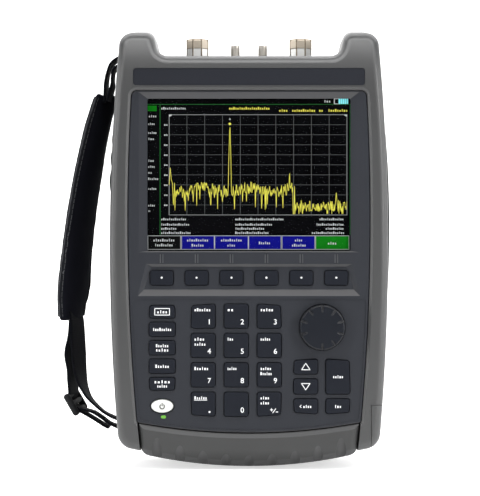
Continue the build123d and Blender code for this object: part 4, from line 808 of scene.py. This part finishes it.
# %% Large and small connectors
FLANGE, FLANGE_HEIGHT, SCREW_OFFSET = 21.0, 2.6, 7.9
SCREW = ((1.7, 0), (1.7, 0.7), (1.2, 1.15), (0.8, 1.2), (0.75, 0.6), (0, 0.6))
RING_HEIGHT, BEAD, BEAD_FOOT = 6.6, 0.46, 3.2
NUT, NUT_HEIGHT, SMALL_COLUMN = 4.5, 3.2, 9.3
ROOT, CREST, PITCH, TURNS, THREAD_FOOT = 2.8, 3.175, 0.7, 18, 4.3
insulator = moulded("insulator", (0.75, 0.74, 0.70), 0.4, 0.0004, 0.05, 0.03)
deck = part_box("connector_plate")[1].z


def bevelled_flat(piece, finish, width):
    """Finish a block or nut that was just added."""
    apply_place()
    bevel(piece, width * MM, 3)
    paint(piece, finish)
    return piece


def mounted(label, body, others, node):
    """Join a connector's pieces, and let it stand for a node's solid."""
    join(body, *others)
    body.name = label
    finish_piece(body, "case")
    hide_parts(node)


low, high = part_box("rf_ports")
top = (high.z - deck) / MM
seam = top - RING_HEIGHT
RING_PROFILE = ((6.9, seam), (7.6, seam), (7.94, seam + 0.35), (7.94, top - 1.5), (7.3, top - 1.1),
                (7.0, top), (6.1, top), (5.6, top - 0.6), (4.3, top - 4.5), (4.2, top - 8))
COLLAR_PROFILE = ((5.2, -3), (6.9, 2.5), (7.7, 2.6), (7.7, seam - 0.3), (7.4, seam), (6.9, seam))
CORE_PROFILE = ((4.15, top - 7.8), (4.0, top - 6.2), (1.6, top - 6.0), (1.5, top - 7.0))
PIN_PROFILE = ((1.2, top - 8), (1.2, top - 1.2), (0.95, top - 0.9), (0.75, top - 1.0),
               (0.7, top - 4), (0, top - 4))
for side, label in ((-1, "left"), (1, "right")):
    place = Vector((side * (high.x - FLANGE / 2 * MM), (low.y + high.y) / 2, deck))
    ring = lathe("ring", RING_PROFILE, port_finish, place, 8, pi / 8)
    collar = lathe("collar", COLLAR_PROFILE, bright_finish, place, 8, pi / 8)
    # dark beads along the corners: painted dark reflection on the edges between the flats
    beads = []
    for corner in range(8):
        angle = pi / 8 + corner * pi / 4
        out = Vector((cos(angle), sin(angle), 0)) * MM
        beads.append(rod(place + out * 7.5 + up(BEAD_FOOT), place + out * 7.6 + up(top - 0.7), BEAD * MM,
                         corner_reflection_finish))
    clear_selection()
    bpy.ops.mesh.primitive_cube_add(size=1, location=place + up(FLANGE_HEIGHT / 2))
    bpy.ops.transform.resize(value=(FLANGE * MM, FLANGE * MM, FLANGE_HEIGHT * MM))
    parts = [bevelled_flat(bpy.context.object, flange_finish, 0.5)]
    for dx in (-1, 1):
        for dy in (-1, 1):
            corner = place + Vector((dx, dy, 0)) * SCREW_OFFSET * MM + up(FLANGE_HEIGHT)
            parts.append(lathe("screw", SCREW, flange_finish, corner, 20))
    core = lathe("core", CORE_PROFILE, insulator, place, 32)
    pin = lathe("pin", PIN_PROFILE, gold_finish, place, 24)
    mounted(f"{label}_rf_port", ring, (collar, *parts, *beads, core, pin), "rf_ports")

low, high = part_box("reference_ports")
top = (high.z - deck) / MM
SHELL_PROFILE = ((3.9, 3.2), (3.9, 3.9), (2.85, 4.1), (2.85, top - 1.2), (3.05, top - 1.0), (3.05, top - 0.4),
                 (2.8, top), (2.35, top), (2.25, top - 0.4), (2.2, top - 3.9))
SMALL_CORE = ((2.2, top - 1.9), (0.9, top - 1.85), (0.85, top - 2.6))
SMALL_PIN = ((0.65, top - 4), (0.65, top - 1.4), (0.4, top - 1.3), (0.38, top - 3), (0, top - 3))
for side, label in ((-1, "left"), (1, "right")):
    place = Vector((side * SMALL_COLUMN * MM, (low.y + high.y) / 2, deck))
    clear_selection()
    bpy.ops.mesh.primitive_cylinder_add(vertices=6, radius=NUT * MM, depth=NUT_HEIGHT * MM,
                                        location=place + up(NUT_HEIGHT / 2))
    nut = bevelled_flat(bpy.context.object, small_finish, 0.35)
    shell = lathe("shell", SHELL_PROFILE, small_finish, place, 32)
    spiral = thread("spiral", ROOT * MM, CREST * MM, PITCH * MM, TURNS, place + up(THREAD_FOOT))
    paint(spiral, small_finish)
    core = lathe("core", SMALL_CORE, insulator, place, 24)
    pin = lathe("pin", SMALL_PIN, gold_finish, place, 16)
    mounted(f"{label}_reference_port", shell, (nut, spiral, core, pin), "reference_ports")
print("four connectors turned")

# %% [markdown]
# ## Hand strap: places
# The strap hangs from two bars in the left side. Its points are shares of its reach beyond the case
# and of the span between the bars; a twist says how far the band has turned towards the viewer, and a
# lean how far its rear edge has dropped.

# %% Strap places
WAIST, REACH, FOOT, SPAN, ROW = -0.0916, 0.034, 0.0265, 0.2453, 0.004
UPPER_BAR, LOWER_BAR = Vector((-0.0813, 0.2718)), Vector((-0.0818, 0.0265))
LEAN_RUN = 0.02  # distance from the lower bar over which a band takes up its lean


def spot(u, v): return Vector((WAIST - REACH * u, FOOT + SPAN * v))


def smooth_path(points, twists, step=0.0015):
    """Points and twists close together on a smooth line through the given ones."""
    path = []
    for i in range(len(points) - 1):
        p0, p1 = points[max(i - 1, 0)], points[i]
        p2, p3 = points[i + 1], points[min(i + 2, len(points) - 1)]
        count = max(2, round((p2 - p1).length / step))
        for k in range(count):
            t = k / count
            place = 0.5 * (2 * p1 + (p2 - p0) * t + (2 * p0 - 5 * p1 + 4 * p2 - p3) * t**2
                           + (3 * p1 - p0 - 3 * p2 + p3) * t**3)
            path.append((place, twists[i] + (twists[i + 1] - twists[i]) * t))
    path.append((points[-1], twists[-1]))
    return path


def strap_frame(path, i, lean=0.0):
    """Place, direction across the band and direction out of its face, at a point of a path."""
    (before, _), (after, _) = path[max(i - 1, 0)], path[min(i + 1, len(path) - 1)]
    place, twist = path[i]
    along = Vector((after.x - before.x, 0, after.y - before.y)).normalized()
    lean *= min(1, (place - LOWER_BAR).length / LEAN_RUN)
    across = Vector((sin(radians(twist)), cos(radians(twist)), -lean))
    across = (across - along * across.dot(along)).normalized()
    return Vector((place.x, ROW, place.y)), across, along.cross(across)


print("strap between", tuple(UPPER_BAR), "and", tuple(LOWER_BAR))

# %% [markdown]
# ## Webbing
# A band of webbing is a narrow grid laid along its path and given a thickness. The same band goes
# round the lower bar, through the slide buckle and back up into the pad; a loose tail hangs beside it.

# %% Webbing bands
web_finish = Finish("webbing_fabric", Specular_IOR_Level=0.04, Sheen_Weight=0.01)
web_uv = web_finish.node("ShaderNodeUVMap")
along_uv, across_uv = web_finish.part(web_uv, 0), web_finish.part(web_uv, 1)
weft = (along_uv * 1000).math("PINGPONG", 0.55) * 1.8
warp = (across_uv * 1000 + weft * 0.3).math("PINGPONG", 0.5) * 2.0
weave_height = warp * 0.6 + weft * 0.4
lint = web_finish.noise(700.0, 3.0)
web_finish.tint(weave_height * 0.7 + lint * 0.3, (0.0015, 0.0017, 0.0026), (0.0058, 0.0062, 0.0086))
web_finish.feed("Roughness", 0.72 + lint * 0.15)
web_finish.bump(weave_height, 0.5)


BAND_WIDTH, BAND_THICK = 0.019, 0.0014
WRAP_RADIUS, WRAP_ENTRY, WRAP_START, WRAP_SIDE = 0.0026, 0.0064, 0.001, 0.0018


def band(name, path, lean=0.0):
    """A band of webbing along a path. Gives back its length."""
    clear_selection()
    bpy.ops.mesh.primitive_grid_add(x_subdivisions=8, y_subdivisions=len(path) - 1, size=1, calc_uvs=True)
    made = bpy.context.object
    made.name = name
    rows = [strap_frame(path, i, lean) for i in range(len(path))]
    length = sum((b[0] - a[0]).length for (a, b) in zip(rows, rows[1:]))
    for vertex in made.data.vertices:
        place, across = rows[round((vertex.co.y + 0.5) * (len(path) - 1))][:2]
        vertex.co = place + across * vertex.co.x * BAND_WIDTH
    for loop in made.data.uv_layers[0].data:
        loop.uv = (loop.uv[1] * length, loop.uv[0] * BAND_WIDTH)
    modify(made, "SOLIDIFY", thickness=BAND_THICK, offset=0)
    bevel(made, BAND_THICK * 0.3, 2)
    bpy.ops.object.shade_smooth_by_angle(angle=radians(50))
    paint(made, web_finish)
    finish_piece(made, "case")
    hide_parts("strap_webbing")
    return length


def wrap(bar_place):
    """Points of a band that comes in above a bar, turns round it and leaves below."""
    turn = [(-WRAP_ENTRY, WRAP_RADIUS), (-WRAP_START, WRAP_RADIUS), (WRAP_SIDE, WRAP_SIDE), (WRAP_RADIUS, 0)]
    turn += [(across, -rise) for across, rise in reversed(turn[:-1])]
    return [bar_place + Vector(place) for place in turn]


outer_leg = [spot(*p) for p in ((0.165, .885), (0.159, .911), (0.159, .938), (0.126, .968), (0.044, .995))]
inner_leg = [spot(*p) for p in ((0.0, .978), (.03, .957), (.03, .935), (.077, .911), (.10, .890))]
upper = band("strap_upper_band", smooth_path(outer_leg + wrap(UPPER_BAR) + inner_leg,
             [5, 4, 2, 0, 0] + [0] * 7 + [0, 0, 2, 4, 5]))

BUCKLE, TILT, ROLL, LEAN = spot(0.775, 0.0585), radians(60), 12, 0.1
BUCKLE_LENGTH, BUCKLE_RISE = 0.016, 0.0022


def buckle_spot(along, out):
    """A place by shares of the buckle's length and thickness."""
    a, o = BUCKLE_LENGTH * along, BUCKLE_RISE * out
    return BUCKLE + Vector((a * cos(TILT) - o * sin(TILT), -a * sin(TILT) - o * cos(TILT)))


main_band = [spot(*p) for p in ((0.80, .315), (0.757, .287), (0.735, .242), (0.718, .192), (0.694, .155),
             (0.647, .118), (0.585, .093), (0.488, .068), (0.321, .044), (0.153, .026))]
return_band = [spot(*p) for p in ((0.10, .001), (0.224, .014), (0.42, .031), (0.65, .0405))]
through = [buckle_spot(0.22, 0), buckle_spot(0, 1), buckle_spot(-0.22, 0), buckle_spot(-0.44, -1)]
buckle_band = [spot(*p) for p in ((0.828, .118), (0.826, .147), (0.866, .192), (0.806, .242), (0.79, .2895),
               (0.79, .305))]
lower = band("strap_lower_band", smooth_path(
    main_band + wrap(LOWER_BAR) + return_band + through + buckle_band,
    [20, 22, 23, 24, 21, 15, 9, 4, 1, 0] + [0] * 7 + [0, 2, 6, 9] + [ROLL] * 4
    + [15, 18, 20, 18, 16, 16]), LEAN)
tail = [spot(*p) for p in ((0.70, .035), (0.597, .0285), (0.385, .0115), (0.188, -.006), (0.091, -.012))]
loose = band("strap_tail", smooth_path(tail, [6, 5, 4, 3, 2]), LEAN)
print("webbing lengths in mm:", [round(1000 * v) for v in (upper, lower, loose)])

# %% [markdown]
# ## Slide buckle
# The buckle is a ladder of round bars: two along the strap and three across it. The webbing goes over
# the middle rung. It leans with the strap and is rolled a little towards the viewer.

# %% Buckle
lengthwise = Vector((cos(TILT), 0, -sin(TILT)))
crosswise = Vector((sin(radians(ROLL)), cos(radians(ROLL)), 0))
crosswise = (crosswise - lengthwise * crosswise.dot(lengthwise)).normalized()
middle = Vector((BUCKLE.x, ROW, BUCKLE.y))
RUNG_HALF, RUNG, RAIL_HALF, RAIL, RAIL_COLUMN = 0.0105, 0.0019, 0.0058, 0.0023, 0.0107
rungs = [rod(middle + lengthwise * a - crosswise * RUNG_HALF, middle + lengthwise * a + crosswise * RUNG_HALF,
             RUNG, buckle_finish) for a in (-RAIL_HALF, 0, RAIL_HALF)]
rails = [rod(middle + crosswise * c - lengthwise * RAIL_HALF, middle + crosswise * c + lengthwise * RAIL_HALF,
             RAIL, buckle_finish) for c in (-RAIL_COLUMN, RAIL_COLUMN)]
join(rails[0], rails[1], *rungs)
buckle = bpy.context.object
buckle.name = "strap_slide_buckle"
finish_piece(buckle, "case")
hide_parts("strap_buckle")
print("buckle of", len(buckle.data.polygons), "faces")

# %% [markdown]
# ## Padded sleeve
# The pad starts as a block bent along the strap. Inflating it as cloth rounds its faces and ends the
# way foam in a sewn cover does; the movement is capped so that it keeps its size. The bound edges are
# strips of tape that are laid round both long edges and drawn on to the pad.

# %% Pad shape
def circle_through(a, b, c):
    d = 2 * (a.x * (b.y - c.y) + b.x * (c.y - a.y) + c.x * (a.y - b.y))
    x = (a.length_squared * (b.y - c.y) + b.length_squared * (c.y - a.y) + c.length_squared * (a.y - b.y)) / d
    y = (a.length_squared * (c.x - b.x) + b.length_squared * (a.x - c.x) + c.length_squared * (b.x - a.x)) / d
    return Vector((x, y))


def table(steps, values, t):
    """A value between the entries of a table."""
    for (s0, v0), (s1, v1) in zip(zip(steps, values), zip(steps[1:], values[1:])):
        if t <= s1:
            return v0 + (v1 - v0) * (t - s0) / (s1 - s0)
    return values[-1]


pad_top, pad_middle, pad_end = spot(0.160, 0.906), spot(0.597, 0.634), spot(0.822, 0.285)
centre = circle_through(pad_top, pad_middle, pad_end)
start_angle = (pad_top - centre).angle_signed(Vector((1, 0)))
end_angle = (pad_end - centre).angle_signed(Vector((1, 0)))
arm = (pad_top - centre).length
STEPS = (0, .04, .15, .35, .5, .65, .85, .90, .935, .965, 1)
FRONT_WIDTHS = (.80, .90, .97, 1, 1, 1, 1, 1, .99, .98, .90)
REAR_WIDTHS = (.95, .97, .95, 1, 1, 1, 1.02, .98, .82, .86, .76)
THICKS = (.8, .95, 1, 1, 1, 1, 1, 1, .95, 1, .95)
TWISTS = (18, 19, 21, 24, 26, 28, 31, 31, 29, 28, 26)
PAD_HALF, PAD_CROWN, CORNER_LIFT, CORNER_SHARE = 0.018, 0.0037, 0.0038, 0.15
INNER_SHARE, VOXEL, PUFF_LIMIT, PUFF_FRAMES = 0.95, 0.0014, 0.0009, 20
EDGE_SHARE, CROWN_SHARE, PRESSURE, TENSION, BENDING = 0.24, 0.66, 4.0, 20, 2.0


def pad_frame(t, side):
    """Place, direction across, direction out of the face, half width and half thickness along the pad."""
    angle = start_angle + (end_angle - start_angle) * t
    place = centre + arm * Vector((cos(angle), sin(angle)))
    along = Vector((-sin(angle), 0, cos(angle)))
    along = along if along.z < 0 else -along
    lift = CORNER_LIFT * max(0, side) * max(0, 1 - t / CORNER_SHARE)
    twist = radians(table(STEPS, TWISTS, t))
    across = Vector((sin(twist), cos(twist), 0))
    across = (across - along * across.dot(along)).normalized()
    widths = REAR_WIDTHS if side > 0 else FRONT_WIDTHS
    return (Vector((place.x, ROW, place.y)) - along * lift, across, along.cross(across),
            PAD_HALF * table(STEPS, widths, t), PAD_CROWN * table(STEPS, THICKS, t))


clear_selection()
bpy.ops.mesh.primitive_cube_add(size=2)
pad = bpy.context.object
pad.name = "strap_pad"
mode("EDIT")
bpy.ops.mesh.select_all(action="SELECT")
bpy.ops.mesh.subdivide(number_cuts=31)
mode("OBJECT")
for vertex in pad.data.vertices:
    u, v, w = vertex.co
    place, across, out, half, crown = pad_frame((u + 1) / 2, v)
    rise = w * crown * (EDGE_SHARE + CROWN_SHARE * (1 - v * v))
    vertex.co = place + across * (v * half * INNER_SHARE) + out * rise
modify(pad, "REMESH", mode="VOXEL", voxel_size=VOXEL)
rest = [v.co.copy() for v in pad.data.vertices]
puff = pad.modifiers.new("puff", "CLOTH")
puff.settings.use_pressure = True
puff.settings.uniform_pressure_force = PRESSURE
puff.settings.effector_weights.gravity = 0.0
puff.settings.tension_stiffness = TENSION
puff.settings.bending_stiffness = BENDING
puff.point_cache.frame_start, puff.point_cache.frame_end = 1, PUFF_FRAMES
for number in range(1, PUFF_FRAMES + 1):
    bpy.context.scene.frame_set(number)
blown = pad.evaluated_get(bpy.context.evaluated_depsgraph_get()).data
moved = [v.co.copy() for v in blown.vertices]
pad.modifiers.remove(puff)
for vertex, old, new in zip(pad.data.vertices, rest, moved):
    shift = new - old
    vertex.co = old + shift * min(1, PUFF_LIMIT / max(shift.length, 1e-9))
bpy.context.scene.frame_set(1)
clear_selection()
pad.select_set(True)
bpy.context.view_layer.objects.active = pad
modify(pad, "SMOOTH", factor=0.5, iterations=6)
modify(pad, "SUBSURF", levels=1, render_levels=1)
bpy.ops.object.shade_smooth()

pad_cloth = Finish("sleeve_fabric", Specular_IOR_Level=0.02, Sheen_Weight=0.005)
knit = pad_cloth.noise(1300.0, 2.0)
slub = pad_cloth.noise(120.0, 4.0, (1, 1, 0.5))
pad_cloth.tint(knit * 0.5 + slub * 0.5, (0.0040, 0.0043, 0.0066), (0.0095, 0.0100, 0.0140))
pad_cloth.feed("Roughness", 0.8 + (knit - 0.5) * 0.2)
pad_cloth.bump(knit, 0.35)
paint(pad, pad_cloth)
finish_piece(pad, "case")
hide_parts("strap_sleeve")
print("pad of", len(pad.data.polygons), "faces")

# %% [markdown]
# The tape's colour follows its UV map: ribs along it, a row of stitches near each edge and a worn fold.

# %% Bound edges of the pad
FOLD, STAND_OFF, TAPE_THICK, TAPE_GAP = 0.0020, 0.002, 0.0007, 0.0004
TAPE_FROM, TAPE_SHARE = 0.015, 0.97  # of the pad's length
tape_finish = Finish("binding_tape", Specular_IOR_Level=0.05, Sheen_Weight=0.01)
tape_uv = tape_finish.node("ShaderNodeUVMap")
run, over = tape_finish.part(tape_uv, 0), tape_finish.part(tape_uv, 1)
rib = (run * 1000).math("PINGPONG", 0.45) * 2.0
away = (over - 0.5).math("ABSOLUTE")
seam = (away > 0.34) * (away < 0.44)
dash = (run * 1000).math("PINGPONG", 1.9) > 0.35
thread_share = (seam * dash).math("MAXIMUM", (away < 0.07) * 0.7)
tape = tape_finish.blend(rib, (0.0042, 0.0045, 0.0058), (0.0095, 0.0100, 0.0120))
tape_finish.tint(thread_share, tape, (0.052, 0.053, 0.057))
tape_finish.feed("Roughness", 0.7 + rib * 0.15)
tape_finish.bump(rib * 0.5 + thread_share, 0.4)


def binding(name, side):
    """A tape folded round one long edge of the pad, from one face over the edge to the other."""
    steps, turns = 110, 14
    clear_selection()
    bpy.ops.mesh.primitive_grid_add(x_subdivisions=turns, y_subdivisions=steps, size=1, calc_uvs=True)
    made = bpy.context.object
    made.name = name
    length = (start_angle - end_angle) * arm
    for vertex in made.data.vertices:
        fold, t = vertex.co.x, vertex.co.y + 0.5
        place, across, out, half, crown = pad_frame(TAPE_FROM + TAPE_SHARE * t, side)
        angle = fold * pi
        reach = half * INNER_SHARE + STAND_OFF - FOLD * (1 - cos(angle))
        vertex.co = place + across * (side * reach) + out * (sin(angle) * (crown + STAND_OFF))
    for loop in made.data.uv_layers[0].data:
        loop.uv = (loop.uv[1] * abs(length), loop.uv[0])
    modify(made, "SHRINKWRAP", target=pad, wrap_method="NEAREST_SURFACEPOINT", wrap_mode="ABOVE_SURFACE",
           offset=TAPE_GAP)
    modify(made, "SOLIDIFY", thickness=TAPE_THICK, offset=0)
    bpy.ops.object.shade_smooth_by_angle(angle=radians(60))
    paint(made, tape_finish)
    finish_piece(made, "case")


binding("strap_front_binding", -1)
binding("strap_rear_binding", 1)
print("both edges bound")

# %% [markdown]
# ## Studio
# A pale floor runs back and curves up behind the object, and two large soft lights above it keep the
# shadows faint. Two strips on either side draw highlights along the rounded edges, and a card in
# front gives the connectors something to mirror. The camera stands level with the middle of the case,
# a little over a metre away.

# %% Floor, lights and camera
GLOW_FROM, GLOW_GAIN = 0.45, 3.0  # how far before the object the paper starts to glow, and how fast
FLOOR_SIZE, FLOOR_SHIFT, WALL_HEIGHT, WALL_CURVE, FLOOR_GAP = (8, 4, 1), -0.9, 3.5, 0.7, 0.0002
CAMERA_PLACE, FILM, LENS, SHIFT = (0, -1.066, 0.1455), 24.0, 76.06, -9 / 496
clear_selection()
bpy.ops.mesh.primitive_plane_add(size=1, location=(0, 0, 0))
floor = bpy.context.object
floor.name = "floor"
mode("EDIT")
bpy.ops.transform.resize(value=FLOOR_SIZE)
bpy.ops.transform.translate(value=(0, FLOOR_SHIFT, 0))
bpy.ops.mesh.select_all(action="DESELECT")
mode("OBJECT")
for edge in floor.data.edges:
    edge.select = all(floor.data.vertices[v].co.y > 0 for v in edge.vertices)
mode("EDIT")
bpy.ops.mesh.select_mode(type="EDGE")
bpy.ops.mesh.extrude_region_move(TRANSFORM_OT_translate={"value": (0, 0, WALL_HEIGHT)})
mode("OBJECT")
modify(floor, "BEVEL", width=WALL_CURVE, segments=16, limit_method="ANGLE", angle_limit=radians(40))
bpy.ops.object.shade_smooth()
paper = Finish("paper", Roughness=0.8, Emission_Strength=0.6, Specular_IOR_Level=0.1)
tooth = paper.noise(30.0, 3.0)
paper.tint(tooth, (0.74, 0.74, 0.74), (0.78, 0.78, 0.78))
behind = ((paper.part(paper.place(), 1) + GLOW_FROM) * GLOW_GAIN).clamped()
paper.feed("Emission Color", paper.blend(behind, (0, 0, 0), (1, 1, 1)))
paint(floor, paper)
floor.location = (0, 0, cad_box[0][2] - FLOOR_GAP)
apply_place()


def softbox(name, place, size, power, target=(0, 0, 0.15)):
    clear_selection()
    aim = (Vector(target) - Vector(place)).to_track_quat("-Z", "Y").to_euler()
    bpy.ops.object.light_add(type="AREA", location=place, rotation=aim)
    lamp = bpy.context.object
    lamp.name = name
    lamp.data.shape, lamp.data.size, lamp.data.size_y, lamp.data.energy = "RECTANGLE", *size, power
    return lamp


lights = [softbox("top_light", (0, -0.45, 1.35), (1.4, 0.7), 20.5, (0, 0, 0.2)),
          softbox("back_light", (0, 0.8, 1.6), (2.0, 0.8), 18, (0, 1.2, 0)),
          softbox("left_strip", (-1.1, -0.1, 0.3), (0.4, 1.2), 7),
          softbox("right_strip", (1.1, -0.1, 0.3), (0.4, 1.2), 7),
          softbox("left_edge", (-0.9, -0.8, 0.55), (0.12, 1.0), 5.5),
          softbox("right_edge", (0.9, -0.8, 0.55), (0.12, 1.0), 10),
          softbox("front_card", (0, -3.0, 0.82), (3.0, 0.3), 3, (0, 0, 0.28))]
world = bpy.context.scene.world or bpy.data.worlds.new("studio")
bpy.context.scene.world = world
world.use_nodes = True
sky = next(n for n in world.node_tree.nodes if n.type == "BACKGROUND")
sky.inputs["Color"].default_value = (1, 1, 1, 1)
sky.inputs["Strength"].default_value = 0.06

clear_selection()
bpy.ops.object.camera_add(location=CAMERA_PLACE, rotation=(pi / 2, 0, 0))
camera = bpy.context.object
camera.data.sensor_fit, camera.data.sensor_height, camera.data.lens = "VERTICAL", FILM, LENS
camera.data.shift_x = SHIFT
bpy.context.scene.camera = camera
bpy.context.scene.view_settings.view_transform = "Standard"
print("floor,", len(lights), "lights and a camera")
